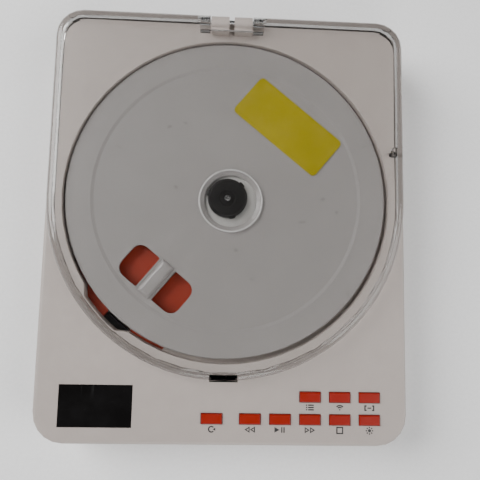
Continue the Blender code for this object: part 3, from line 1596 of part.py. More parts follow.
def drive_dampers():
    """Rubber dampers in the chassis ears, on the pins of the bottom case's posts."""
    dampers = []
    for i, place in enumerate(EAR_PLACES):
        profile = [
            (DAMPER_BORE_RADIUS, DAMPER_TOP),
            (DAMPER_RIM_RADIUS, DAMPER_TOP),
            (DAMPER_RIM_RADIUS, DAMPER_TOP - DAMPER_RIM),
            (DAMPER_NECK_RADIUS, DAMPER_TOP - DAMPER_RIM),
            (DAMPER_NECK_RADIUS, DAMPER_BOTTOM + DAMPER_RIM),
            (DAMPER_RIM_RADIUS, DAMPER_BOTTOM + DAMPER_RIM),
            (DAMPER_RIM_RADIUS, DAMPER_BOTTOM),
            (DAMPER_BORE_RADIUS, DAMPER_BOTTOM),
        ]
        damper = turned(f"drive_damper_{i + 1}", profile, SMALL_SIDES, place, closed=True)
        dampers.append(finished(damper, black_rubber))
    return dampers


def screw_form(name, length):
    """A screw whose head stands on z = 0 and whose shank hangs below."""
    profile = [
        (0.0, SCREW_HEAD),
        (SCREW_HEAD_RADIUS - SCREW_HEAD_EDGE, SCREW_HEAD),
        (SCREW_HEAD_RADIUS, SCREW_HEAD - SCREW_HEAD_EDGE),
        (SCREW_HEAD_RADIUS, 0.0),
        (SCREW_RADIUS, 0.0),
        (SCREW_RADIUS, -length + SCREW_RADIUS),
        (0.0, -length),
    ]
    screw = turned(name, profile, SMALL_SIDES)
    low = SCREW_HEAD - SCREW_CROSS_DEPTH
    high = SCREW_HEAD + OVERRUN
    here = (0.0, 0.0)
    slots = [
        block(name + "_slot_x", here, SCREW_CROSS_LENGTH, SCREW_CROSS_WIDTH, low, high),
        block(name + "_slot_y", here, SCREW_CROSS_WIDTH, SCREW_CROSS_LENGTH, low, high),
    ]
    cut(screw, *slots)
    bpy.context.view_layer.update()
    return baked(screw)


def guide_rod(name, y):
    start, end = rod_span()
    rod = cross_cylinder(name, ROD_RADIUS, start, end, y, ROD_HEIGHT)
    return finished(rod, steel)


def spindle_motor():
    bottom = MOTOR_TOP - SPINDLE_MOTOR_HEIGHT
    edge = SCREW_HEAD_EDGE
    profile = [
        (0.0, MOTOR_TOP),
        (SPINDLE_MOTOR_RADIUS - edge, MOTOR_TOP),
        (SPINDLE_MOTOR_RADIUS, MOTOR_TOP - edge),
        (SPINDLE_MOTOR_RADIUS, bottom + edge),
        (SPINDLE_MOTOR_RADIUS - edge, bottom),
        (0.0, bottom),
    ]
    motor = turned("spindle_motor", profile, ROUND_SIDES)
    floor = MOTOR_TOP - SHAFT_DEPTH - SEAT_GAP
    cut(motor, cylinder("motor_bore", SHAFT_RADIUS + GUIDE_GAP, floor, MOTOR_TOP + OVERRUN))
    return finished(motor, foil_silver)


def sled_motor():
    bottom = MOTOR_TOP - SLED_MOTOR_HEIGHT
    place = (MOTOR_X, MOTOR_Y)
    motor = cylinder("sled_motor", SLED_MOTOR_RADIUS, bottom, MOTOR_TOP, place, ROUND_SIDES)
    bore = MOTOR_SHAFT_RADIUS + GUIDE_GAP
    top = bottom + MOTOR_SHAFT_DEPTH + SEAT_GAP
    cut(motor, cylinder("sled_motor_bore", bore, bottom - OVERRUN, top, place))
    return finished(motor, foil_silver)


def motor_pinion():
    """The pinion on the sled motor's shaft, its gap facing the drive gear."""
    frame = add_axis("motor_pinion_axis", (0.0, 0.0, 0.0))
    to_gear = math.atan2(GEAR_Y - MOTOR_Y, GEAR_X - MOTOR_X)
    half_pitch = math.pi / GEAR_TEETH_PINION
    outline = gear_outline(GEAR_TEETH_PINION, GEAR_MODULE_MOTOR, to_gear + half_pitch)
    top = DRIVE_GEAR_BOTTOM + DRIVE_GEAR_FACE
    pinion = plate("motor_pinion", [outline], DRIVE_GEAR_BOTTOM, top)
    shaft_end = MOTOR_TOP - SLED_MOTOR_HEIGHT + MOTOR_SHAFT_DEPTH
    unite(pinion, cylinder("motor_shaft", MOTOR_SHAFT_RADIUS, top - SINK, shaft_end))
    finished(pinion, brass)
    return frame, pinion


def drive_gear():
    """The wide gear driven by the motor, with the small gear that moves the rack."""
    frame = add_axis("drive_gear_axis", (0.0, 0.0, 0.0))
    to_motor = math.atan2(MOTOR_Y - GEAR_Y, MOTOR_X - GEAR_X)
    wide = gear_outline(GEAR_TEETH_DRIVE, GEAR_MODULE_MOTOR, to_motor)
    small = gear_outline(GEAR_TEETH_RACK, GEAR_MODULE_RACK, math.pi / 2)
    face_top = DRIVE_GEAR_BOTTOM + DRIVE_GEAR_FACE
    gear = plate("drive_gear", [wide], DRIVE_GEAR_BOTTOM, face_top)
    unite(gear, plate("rack_gear", [small], face_top - SINK, DRIVE_GEAR_TOP))
    bore = GEAR_SHAFT_RADIUS + GUIDE_GAP
    cut(gear, cylinder(
        "gear_bore", bore, DRIVE_GEAR_BOTTOM - OVERRUN, DRIVE_GEAR_TOP + OVERRUN
    ))
    finished(gear, natural_plastic)
    return frame, gear


def gear_shaft():
    top = CHASSIS_BOTTOM + CHASSIS_THICKNESS / 2 - GUIDE_GAP
    low = DRIVE_GEAR_BOTTOM - SEAT_GAP
    place = (GEAR_X, GEAR_Y)
    shaft = cylinder("gear_shaft", GEAR_SHAFT_RADIUS, low, top, place)
    return finished(shaft, steel)


def rack_outline():
    """The rack's teeth face -Y, with a gap between two of them at the gear."""
    pitch = math.pi * GEAR_MODULE_RACK
    tip_y = RACK_PITCH_Y - GEAR_ADDENDUM_SHARE * GEAR_MODULE_RACK
    root_y = RACK_PITCH_Y + GEAR_DEDENDUM_SHARE * GEAR_MODULE_RACK
    half = pitch / 4 * GEAR_TOOTH_SHARE
    tip_half = half - (RACK_PITCH_Y - tip_y) * math.tan(GEAR_PRESSURE_ANGLE)
    root_half = half + (root_y - RACK_PITCH_Y) * math.tan(GEAR_PRESSURE_ANGLE)
    start = GEAR_X + pitch * (RACK_TEETH_AHEAD - 0.5)
    points = []
    for tooth in range(RACK_TEETH):
        middle = start - pitch * tooth
        points.append((middle + root_half, root_y))
        points.append((middle + tip_half, tip_y))
        points.append((middle - tip_half, tip_y))
        points.append((middle - root_half, root_y))
    points.append((points[-1][0], RACK_STRIP_Y))
    points.append((points[0][0], RACK_STRIP_Y))
    return points


def pickup():
    """The sled on its two rods, with the rack, the lens holder and the lens."""
    frame = add_axis("pickup_axis", (0.0, 0.0, 0.0))
    back = LENS_START - SLED_BACK
    front = LENS_START + SLED_FRONT
    sled = box(
        "pickup_sled", (back, -SLED_LEFT, SLED_BOTTOM), (front, SLED_RIGHT, SLED_TOP)
    )
    round_edges(sled, SLED_EDGE, 1, sharp_and(every_edge))
    unite(sled, plate("rack_strip", [rack_outline()], RACK_BOTTOM, RACK_TOP))
    past = OVERRUN + SLED_BACK
    rod_space = ROD_RADIUS + GUIDE_GAP
    cut(sled, cross_cylinder(
        "sled_bore", rod_space, back - past, front + past, MAIN_ROD_Y, ROD_HEIGHT
    ))
    cut(sled, box(
        "sled_fork",
        (back - OVERRUN, SIDE_ROD_Y - rod_space, ROD_HEIGHT - rod_space),
        (front + OVERRUN, SLED_RIGHT + OVERRUN, ROD_HEIGHT + rod_space),
    ))
    finished(sled, black_plastic)
    holder_top = LENS_TOP - LENS_DOME
    holder = block(
        "lens_holder", (LENS_START, 0.0), HOLDER_SIZE, HOLDER_SIZE, SLED_TOP + SEAT_GAP, holder_top
    )
    upright = sharp_and(every_edge)
    round_edges(holder, HOLDER_EDGE, 2, upright)
    pocket = LENS_RADIUS + GUIDE_GAP
    cut(holder, cylinder(
        "lens_pocket", pocket, holder_top - HOLDER_POCKET, holder_top + OVERRUN, (LENS_START, 0.0)
    ))
    finished(holder, black_plastic)
    seat = holder_top - HOLDER_POCKET + GUIDE_GAP
    profile = [
        (0.0, LENS_TOP),
        (LENS_RADIUS / 2, LENS_TOP - LENS_DOME / 4),
        (LENS_RADIUS - LENS_RIM / 2, LENS_TOP - LENS_DOME),
        (LENS_RADIUS, seat + LENS_BACK),
        (LENS_RADIUS, seat),
        (0.0, seat),
    ]
    lens = turned("pickup_lens", profile, SMALL_SIDES, (LENS_START, 0.0))
    finished(lens, lens_glass)
    return frame, sled, holder, lens


def disc_drive():
    """Builds the drive in its own frame and turns it to the pickup's path."""
    origin = (0.0, SPINDLE_Y, 0.0)
    frame = add_axis("drive_frame", origin, DRIVE_ANGLE)
    fixed = [drive_cover(), drive_chassis(), *drive_dampers(), spindle_motor(), sled_motor()]
    fixed.append(guide_rod("main_guide_rod", MAIN_ROD_Y))
    fixed.append(guide_rod("side_guide_rod", SIDE_ROD_Y))
    fixed.append(gear_shaft())
    hold(frame, *fixed)
    pickup_frame, *carried = pickup()
    hold(pickup_frame, *carried)
    pinion_frame, pinion = motor_pinion()
    pinion_frame.location = (MOTOR_X, MOTOR_Y, 0.0)
    hold(pinion_frame, pinion)
    gear_frame, gear = drive_gear()
    gear_frame.location = (GEAR_X, GEAR_Y, 0.0)
    hold(gear_frame, gear)
    hold(frame, pickup_frame, pinion_frame, gear_frame)


# Boards, battery and sockets


def main_board():
    low = (-CASE_SIDE_X + MAIN_BOARD_SIDE, MAIN_BOARD_FRONT_Y)
    high = (CASE_SIDE_X - MAIN_BOARD_SIDE, MAIN_BOARD_BACK_Y)
    outline = rounded_box(low, high, (MAIN_BOARD_CORNER,) * 4)
    board = plate("main_board", [outline], MAIN_BOARD_BOTTOM, MAIN_BOARD_TOP)
    for i, place in enumerate(case_screw_places()[::2]):
        cut(board, cylinder(
            f"board_corner_{i}", SLEEVE_RADIUS + SEAT_GAP, MAIN_BOARD_BOTTOM - OVERRUN,
            MAIN_BOARD_TOP + OVERRUN, place,
        ))
    holes = pin_holes("main_board_hole", main_post_places(), MAIN_BOARD_BOTTOM, MAIN_BOARD_TOP)
    cut(board, *holes)
    return finished(board, board_green)


def board_parts():
    """The main chip and the main capacitor, on the main board."""
    place = (CHIP_X, MAIN_BOARD_Y)
    chip = block("main_chip", place, CHIP_SIDE, CHIP_SIDE, PART_HEIGHT, PART_HEIGHT + CHIP_HEIGHT)
    finished(chip, black_plastic)
    top = PART_HEIGHT + CAPACITOR_HEIGHT
    can = cylinder(
        "main_capacitor", CAPACITOR_RADIUS, PART_HEIGHT, top, (CAPACITOR_X, MAIN_BOARD_Y)
    )
    finished(can, foil_silver)


def board_link():
    """The pin header between the main board and the key board."""
    centre = (LINK_X, KEY_BOARD_BACK_Y - LINK_BACK - LINK_DEPTH / 2)
    link = block(
        "board_link", centre, LINK_WIDTH, LINK_DEPTH, PART_HEIGHT, KEY_BOARD_BOTTOM - SEAT_GAP
    )
    return finished(link, black_plastic)


def pin_holes(name, places, low, high):
    radius = POST_PIN_RADIUS + GUIDE_GAP
    return [
        cylinder(f"{name}_{i}", radius, low - OVERRUN, high + OVERRUN, place)
        for i, place in enumerate(places)
    ]


def key_board():
    """The board under the buttons, held on the pins of the deck's posts."""
    low = (-CASE_SIDE_X + KEY_BOARD_SIDE, KEY_BOARD_FRONT_Y, KEY_BOARD_BOTTOM)
    high = (CASE_SIDE_X - KEY_BOARD_SIDE, KEY_BOARD_BACK_Y, KEY_BOARD_TOP)
    board = box("key_board", low, high)
    cut(board, *pin_holes("key_board_hole", key_post_places(), KEY_BOARD_BOTTOM, KEY_BOARD_TOP))
    return finished(board, board_green)


def key_pad():
    """The rubber pad with a dome under every button."""
    places = [place for name, place in button_places()]
    low_x = min(x for x, y in places) - KEY_PAD_MARGIN
    high_x = max(x for x, y in places) + KEY_PAD_MARGIN
    low_y = min(y for x, y in places) - KEY_PAD_MARGIN
    high_y = max(y for x, y in places) + KEY_PAD_MARGIN
    base = KEY_BOARD_TOP + SEAT_GAP
    sheet = base + KEY_PAD_THICKNESS
    pad = box("key_pad", (low_x, low_y, base), (high_x, high_y, sheet))
    for i, place in enumerate(places):
        unite(pad, cylinder(f"key_dome_{i}", KEY_DOME_RADIUS, base, sheet + KEY_DOME, place))
    for i, place in enumerate(key_post_places()):
        cut(pad, cylinder(
            f"pad_notch_{i}", BOARD_POST_RADIUS + SEAT_GAP, base - OVERRUN, sheet + OVERRUN, place
        ))
    return finished(pad, black_rubber)


def display_module():
    base = KEY_BOARD_TOP + SEAT_GAP
    module = block(
        "display_module", (WINDOW_X, WINDOW_Y), DISPLAY_MODULE_WIDTH, DISPLAY_MODULE_DEPTH,
        base, DECK_UNDERSIDE - SEAT_GAP,
    )
    return finished(module, black_plastic)


def battery():
    base = FLOOR + SEAT_GAP
    cell = box("battery", (*BATTERY_LOW, base), (*BATTERY_HIGH, base + BATTERY_HEIGHT))
    round_edges(cell, BATTERY_EDGE, 2, sharp_and(every_edge))
    return finished(cell, foil_silver)


def headphone_jack():
    axis = PART_HEIGHT + JACK_HEIGHT / 2
    wall = CASE_SIDE_X - CASE_WALL
    back = wall - SEAT_GAP - JACK_LENGTH
    jack = box(
        "headphone_jack",
        (back, JACK_Y - JACK_WIDTH / 2, PART_HEIGHT),
        (wall - SEAT_GAP, JACK_Y + JACK_WIDTH / 2, PART_HEIGHT + JACK_HEIGHT),
    )
    mouth = CASE_SIDE_X - JACK_NOSE_INSET
    unite(jack, cross_cylinder(
        "jack_nose", JACK_NOSE_RADIUS - SEAT_GAP, wall - OVERRUN, mouth, JACK_Y, axis, ROUND_SIDES
    ))
    cut(jack, cross_cylinder(
        "jack_bore", JACK_BORE_RADIUS, mouth - JACK_BORE_DEPTH, mouth + OVERRUN, JACK_Y, axis
    ))
    return finished(jack, black_plastic)


def charging_socket():
    """A flat metal shell with a tongue, its mouth at the left wall."""
    radius = USB_HEIGHT / 2
    outer = rounded_rectangle(USB_HEIGHT, USB_WIDTH, radius)
    inner = rounded_rectangle(
        USB_HEIGHT - 2 * USB_WALL, USB_WIDTH - 2 * USB_WALL, radius - USB_WALL
    )
    shell = plate("charging_socket", [outer], 0.0, USB_LENGTH)
    space = plate("socket_space", [inner], USB_WALL, USB_LENGTH + OVERRUN)
    tongue = block(
        "socket_tongue", (0.0, 0.0), USB_TONGUE_HEIGHT, USB_TONGUE_WIDTH,
        USB_WALL / 2, USB_LENGTH - USB_TONGUE_INSET,
    )
    cut(shell, space)
    unite(shell, tongue)
    bpy.context.view_layer.update()
    baked(shell)
    turn = Matrix.Rotation(math.radians(-90), 4, "Y")
    mouth = -CASE_SIDE_X + JACK_NOSE_INSET
    shift = Matrix.Translation((mouth + USB_LENGTH, USB_Y, PART_HEIGHT + USB_HEIGHT / 2))
    shell.data.transform(shift @ turn)
    return finished(shell, steel)


def power_switch():
    """The slide switch on the main board and its knob in the left wall."""
    wall = -CASE_SIDE_X + CASE_WALL
    middle = POWER_Y + POWER_TRAVEL / 2
    body_low = wall + SEAT_GAP + POWER_NECK
    body = box(
        "power_switch",
        (body_low, middle - POWER_BODY_DEPTH / 2, PART_HEIGHT),
        (body_low + POWER_BODY_WIDTH, middle + POWER_BODY_DEPTH / 2, PART_HEIGHT + POWER_BODY_HEIGHT),
    )
    finished(body, steel)
    knob_low = PART_HEIGHT + (POWER_BODY_HEIGHT - POWER_KNOB_HEIGHT) / 2
    knob = box(
        "power_slider",
        (-CASE_SIDE_X + GUIDE_GAP, POWER_Y - POWER_KNOB_DEPTH / 2, knob_low),
        (body_low - SEAT_GAP, POWER_Y + POWER_KNOB_DEPTH / 2, knob_low + POWER_KNOB_HEIGHT),
    )
    finished(knob, black_plastic)
    hold_in_place(add_axis("power_slider_axis", (wall, POWER_Y, knob_low)), knob)


def case_screws():
    for i, place in enumerate(case_screw_places()):
        screw = screw_form(f"case_screw_{i + 1}", CASE_SCREW_LENGTH)
        flip = Matrix.Rotation(math.pi, 4, "X")
        shift = Matrix.Translation((*place, CASE_SCREW_SEAT + SCREW_HEAD - GUIDE_GAP))
        screw.data.transform(shift @ flip)
        finished(screw, steel)


def main():
    clear_scene()
    bottom_case()
    top_case()
    display_window()
    rubber_feet()
    lid()
    hinge_pin()
    lid_catch()
    lid_switch()
    buttons()
    transport_card()
    turntable()
    disc_drive()
    main_board()
    board_parts()
    board_link()
    key_board()
    key_pad()
    display_module()
    battery()
    headphone_jack()
    charging_socket()
    power_switch()
    case_screws()


main()
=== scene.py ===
"""The looks of a portable CD player: its finishes, its printed marks and its stage."""

import json
import math

import bmesh
import bpy
from mathutils import Matrix, Vector


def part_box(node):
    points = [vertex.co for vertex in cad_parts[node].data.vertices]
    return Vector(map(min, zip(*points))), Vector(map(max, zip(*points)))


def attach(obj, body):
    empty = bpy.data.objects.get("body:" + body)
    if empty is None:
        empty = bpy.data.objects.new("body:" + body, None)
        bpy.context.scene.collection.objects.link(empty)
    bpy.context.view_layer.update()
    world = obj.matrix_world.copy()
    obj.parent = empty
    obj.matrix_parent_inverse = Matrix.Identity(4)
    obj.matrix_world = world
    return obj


bl_info = {
    "name": "Portable CD player",
    "version": (1, 0, 0),
    "blender": (4, 5, 0),
    "location": "View3D > Sidebar > CD player",
    "description": "Dresses a portable CD player with a clear lid and orange buttons",
    "category": "Object",
}

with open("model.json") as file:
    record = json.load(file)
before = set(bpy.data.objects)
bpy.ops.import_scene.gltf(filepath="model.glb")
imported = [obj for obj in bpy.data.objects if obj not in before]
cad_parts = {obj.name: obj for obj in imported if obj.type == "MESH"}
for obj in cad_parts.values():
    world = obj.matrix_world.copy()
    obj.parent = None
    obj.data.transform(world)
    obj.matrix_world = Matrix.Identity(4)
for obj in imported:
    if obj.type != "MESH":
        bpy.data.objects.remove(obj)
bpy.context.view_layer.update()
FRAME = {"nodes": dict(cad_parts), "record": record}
NODES = FRAME["nodes"]

MM = 0.001
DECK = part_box("display_window")[1].z
PRINT_LIFT = 0.03 * MM
LID_LOW, LID_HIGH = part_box("lid")
TAB_WIDTH = 10.0 * MM
TAB_DEPTH = 2.6 * MM
TAB_HEIGHT = 4.0 * MM
TAB_INSET = 0.02 * MM
TAB_SIZE = (TAB_WIDTH, TAB_DEPTH, TAB_HEIGHT)
TAB_PLACE = (
    0.0, LID_LOW.y + TAB_INSET + TAB_DEPTH / 2, LID_HIGH.z - TAB_INSET - TAB_HEIGHT / 2
)
LID_ABSORPTION = 105.0
WELD_DISTANCE = 0.001 * MM
SHARP_ANGLE = math.radians(32)
SHARP_ANGLES = {"transport_card": math.radians(12)}

BEAD_X = 1.2 * MM
BEAD_Y = 8.9 * MM
BEAD_RADIUS = 11.7 * MM
BEAD_HALF_WIDTH = 0.35 * MM
BEAD_BOTTOM = 19.0 * MM
BEAD_RISE = 0.4 * MM
BEAD_STEPS = 8
BEAD_SIDES = 144

BUTTONS = (
    "button_mode",
    "button_previous",
    "button_play",
    "button_next",
    "button_stop",
    "button_light",
    "button_program",
    "button_wireless",
    "button_section",
)


# Settings


def colour_setting(label, about, value):
    return bpy.props.FloatVectorProperty(
        name=label, description=about, subtype="COLOR", size=3, min=0.0, max=1.0, default=value
    )


def length_setting(label, about, value):
    return bpy.props.FloatProperty(
        name=label, description=about, default=value, min=0.0, subtype="DISTANCE", unit="LENGTH"
    )


class PlayerColours(bpy.types.PropertyGroup):
    case: colour_setting("Case", "Colour of the case's white plastic", (0.40, 0.350, 0.322))
    card: colour_setting("Card", "Colour of the transport card", (0.265, 0.248, 0.240))
    # Painted highlight: the ring bead is the card's plastic, coloured about twice as light to draw a bright
    # line on the ring.
    bead: colour_setting("Ring bead", "Colour of the bead on the card's ring", (0.50, 0.485, 0.475))
    cover: colour_setting("Drive cover", "Colour of the drive's cover", (0.34, 0.028, 0.006))
    button: colour_setting("Buttons", "Colour of the buttons", (0.265, 0.009, 0.003))
    sticker: colour_setting("Sticker", "Colour of the card's sticker", (0.30, 0.24, 0.002))
    window: colour_setting("Window", "Colour of the display window", (0.004, 0.0035, 0.0035))
    black: colour_setting("Black plastic", "Colour of the drive's black plastic", (0.006, 0.0052, 0.005))
    print: colour_setting("Print", "Colour of the printed marks", (0.014, 0.013, 0.013))
    board: colour_setting("Boards", "Colour of the circuit boards", (0.010, 0.10, 0.045))


class PlayerSizes(bpy.types.PropertyGroup):
    mark_drop: length_setting(
        "Mark distance", "From a button's middle to the middle of its mark", 3.65 * MM
    )
    mark_height: length_setting("Mark height", "Height of the printed marks", 2.3 * MM)
    mark_line: length_setting("Mark line", "Width of the lines in the printed marks", 0.44 * MM)
    grain: length_setting("Grain", "Size of the moulded plastic's grain", 0.35 * MM)
    floor: length_setting("Floor", "Width of the floor", 1.8)


# Node tools


def new_group(name, inputs, outputs):
    """An empty shader group; inputs are (name, kind, default) and outputs (name, kind)."""
    group = bpy.data.node_groups.new(name, "ShaderNodeTree")
    for label, kind, value in inputs:
        socket = group.interface.new_socket(label, in_out="INPUT", socket_type=kind)
        socket.default_value = value
    for label, kind in outputs:
        group.interface.new_socket(label, in_out="OUTPUT", socket_type=kind)
    start = group.nodes.new("NodeGroupInput")
    end = group.nodes.new("NodeGroupOutput")
    return group, start, end


def add_node(tree, kind, **settings):
    node = tree.nodes.new(kind)
    for key, value in settings.items():
        setattr(node, key, value)
    return node


def noise(tree, coordinates, scale, detail=3.0, roughness=0.5):
    node = add_node(tree, "ShaderNodeTexNoise")
    node.inputs["Detail"].default_value = detail
    node.inputs["Roughness"].default_value = roughness
    tree.links.new(coordinates, node.inputs["Vector"])
    if isinstance(scale, (int, float)):
        node.inputs["Scale"].default_value = scale
    else:
        tree.links.new(scale, node.inputs["Scale"])
    return node.outputs["Fac"]


def math_node(tree, operation, first, second):
    node = add_node(tree, "ShaderNodeMath", operation=operation)
    for socket, value in zip(node.inputs, (first, second)):
        if isinstance(value, (int, float)):
            socket.default_value = value
        else:
            tree.links.new(value, socket)
    return node.outputs["Value"]


def spread(tree, value, low, high, new_low, new_high):
    node = add_node(tree, "ShaderNodeMapRange")
    node.inputs["From Min"].default_value = low
    node.inputs["From Max"].default_value = high
    tree.links.new(value, node.inputs["Value"])
    for label, end in (("To Min", new_low), ("To Max", new_high)):
        if isinstance(end, (int, float)):
            node.inputs[label].default_value = end
        else:
            tree.links.new(end, node.inputs[label])
    return node.outputs["Result"]


def blend_colours(tree, mask, first, second):
    node = add_node(tree, "ShaderNodeMix", data_type="RGBA")
    tree.links.new(mask, node.inputs["Factor"])
    for socket, value in ((node.inputs[6], first), (node.inputs[7], second)):
        if isinstance(value, tuple):
            socket.default_value = value
        else:
            tree.links.new(value, socket)
    return node.outputs[2]


def darker(tree, colour, amount):
    """The colour with its brightness scaled by a value or a socket."""
    node = add_node(tree, "ShaderNodeHueSaturation")
    tree.links.new(colour, node.inputs["Color"])
    if isinstance(amount, (int, float)):
        node.inputs["Value"].default_value = amount
    else:
        tree.links.new(amount, node.inputs["Value"])
    return node.outputs["Color"]


# Shared effects


def moulded_grain_group():
    """Fine moulded grain with slow changes of shade and gloss."""
    group, start, end = new_group(
        "moulded_grain",
        [
            ("Colour", "NodeSocketColor", (0.5, 0.5, 0.5, 1.0)),
            ("Shade Change", "NodeSocketFloat", 0.05),
            ("Gloss Low", "NodeSocketFloat", 0.4),
            ("Gloss High", "NodeSocketFloat", 0.5),
            ("Grain Scale", "NodeSocketFloat", 2800.0),
        ],
        [("Colour", "NodeSocketColor"), ("Roughness", "NodeSocketFloat"), ("Height", "NodeSocketFloat")],
    )
    place = add_node(group, "ShaderNodeTexCoord").outputs["Object"]
    slow = noise(group, place, 45.0, 4.0)
    patch = noise(group, place, 260.0, 3.0)
    grain = noise(group, place, start.outputs["Grain Scale"], 2.0)
    slow_part = math_node(group, "MULTIPLY", slow, 0.65)
    both = math_node(group, "ADD", slow_part, math_node(group, "MULTIPLY", patch, 0.35))
    low = math_node(group, "SUBTRACT", 1.0, start.outputs["Shade Change"])
    high = math_node(group, "ADD", 1.0, start.outputs["Shade Change"])
    shade = spread(group, both, 0.3, 0.7, low, high)
    speck = spread(group, grain, 0.25, 0.75, 0.97, 1.03)
    shaded = darker(group, start.outputs["Colour"], math_node(group, "MULTIPLY", shade, speck))
    gloss = spread(group, patch, 0.3, 0.7, start.outputs["Gloss Low"], start.outputs["Gloss High"])
    group.links.new(shaded, end.inputs["Colour"])
    group.links.new(gloss, end.inputs["Roughness"])
    group.links.new(grain, end.inputs["Height"])
    return group


def edge_wear_group():
    """Edges rubbed to another shade, broken up by noise."""
    group, start, end = new_group(
        "edge_wear",
        [
            ("Colour", "NodeSocketColor", (0.5, 0.5, 0.5, 1.0)),
            ("Worn Colour", "NodeSocketColor", (0.6, 0.6, 0.6, 1.0)),
            ("Amount", "NodeSocketFloat", 0.4),
        ],
        [("Colour", "NodeSocketColor"), ("Mask", "NodeSocketFloat")],
    )
    sharpness = add_node(group, "ShaderNodeNewGeometry").outputs["Pointiness"]
    place = add_node(group, "ShaderNodeTexCoord").outputs["Object"]
    edge = spread(group, sharpness, 0.52, 0.6, 0.0, 1.0)
    broken = spread(group, noise(group, place, 420.0, 4.0), 0.35, 0.65, 0.2, 1.0)
    mask = math_node(group, "MULTIPLY", math_node(group, "MULTIPLY", edge, broken), start.outputs["Amount"])
    mixed = blend_colours(group, mask, start.outputs["Colour"], start.outputs["Worn Colour"])
    group.links.new(mixed, end.inputs["Colour"])
    group.links.new(mask, end.inputs["Mask"])
    return group


def dust_group():
    """Pale dust that settles on faces that look up."""
    group, start, end = new_group(
        "settled_dust",
        [
            ("Colour", "NodeSocketColor", (0.5, 0.5, 0.5, 1.0)),
            ("Dust Colour", "NodeSocketColor", (0.55, 0.53, 0.5, 1.0)),
            ("Amount", "NodeSocketFloat", 0.1),
        ],
        [("Colour", "NodeSocketColor"), ("Mask", "NodeSocketFloat")],
    )
    facing = add_node(group, "ShaderNodeSeparateXYZ")
    group.links.new(add_node(group, "ShaderNodeNewGeometry").outputs["Normal"], facing.inputs["Vector"])
    place = add_node(group, "ShaderNodeTexCoord").outputs["Object"]
    upward = spread(group, facing.outputs["Z"], 0.4, 1.0, 0.0, 1.0)
    film = spread(group, noise(group, place, 90.0, 5.0, 0.65), 0.4, 0.75, 0.15, 1.0)
    mask = math_node(group, "MULTIPLY", math_node(group, "MULTIPLY", upward, film), start.outputs["Amount"])
    mixed = blend_colours(group, mask, start.outputs["Colour"], start.outputs["Dust Colour"])
    group.links.new(mixed, end.inputs["Colour"])
    group.links.new(mask, end.inputs["Mask"])
    return group


def hairline_group():
    """Thin scratches in two directions, as a mask."""
    group, start, end = new_group(
        "hairline_scratches",
        [("Amount", "NodeSocketFloat", 0.5), ("Density", "NodeSocketFloat", 60.0)],
        [("Mask", "NodeSocketFloat")],
    )
    place = add_node(group, "ShaderNodeTexCoord").outputs["Object"]
    masks = []
    for turn, stretch in ((0.5, (1.0, 0.03, 0.5)), (-0.9, (0.04, 1.0, 0.5))):
        mapping = add_node(group, "ShaderNodeMapping")
        mapping.inputs["Rotation"].default_value = (0.0, 0.0, turn)
        mapping.inputs["Scale"].default_value = stretch
        group.links.new(place, mapping.inputs["Vector"])
        lines = add_node(group, "ShaderNodeTexVoronoi", feature="DISTANCE_TO_EDGE")
        group.links.new(mapping.outputs["Vector"], lines.inputs["Vector"])
        group.links.new(start.outputs["Density"], lines.inputs["Scale"])
        masks.append(spread(group, lines.outputs["Distance"], 0.0, 0.012, 1.0, 0.0))
    patches = spread(group, noise(group, place, 30.0, 2.0), 0.5, 0.62, 0.0, 1.0)
    lines = math_node(group, "MULTIPLY", math_node(group, "MAXIMUM", *masks), patches)
    group.links.new(math_node(group, "MULTIPLY", lines, start.outputs["Amount"]), end.inputs["Mask"])
    return group


EFFECTS = {
    "moulded_grain": moulded_grain_group,
    "edge_wear": edge_wear_group,
    "settled_dust": dust_group,
    "hairline_scratches": hairline_group,
}


def effect(tree, name, **values):
    """Places a shared effect in a material; each value is a number, a colour or a socket."""
    group = bpy.data.node_groups.get(name) or EFFECTS[name]()
    node = add_node(tree, "ShaderNodeGroup", node_tree=group)
    for key, value in values.items():
        socket = node.inputs[key.replace("_", " ")]
        if isinstance(value, (int, float, tuple)):
            socket.default_value = value
        else:
            tree.links.new(value, socket)
    return node


def new_material(name):
    material = bpy.data.materials.new(name)
    material.use_nodes = True
    tree = material.node_tree
    return material, tree, tree.nodes["Principled BSDF"]


def add_bump(tree, shader, height, depth, strength=0.5):
    bump = add_node(tree, "ShaderNodeBump")
    bump.inputs["Strength"].default_value = strength
    bump.inputs["Distance"].default_value = depth
    tree.links.new(height, bump.inputs["Height"])
    tree.links.new(bump.outputs["Normal"], shader.inputs["Normal"])


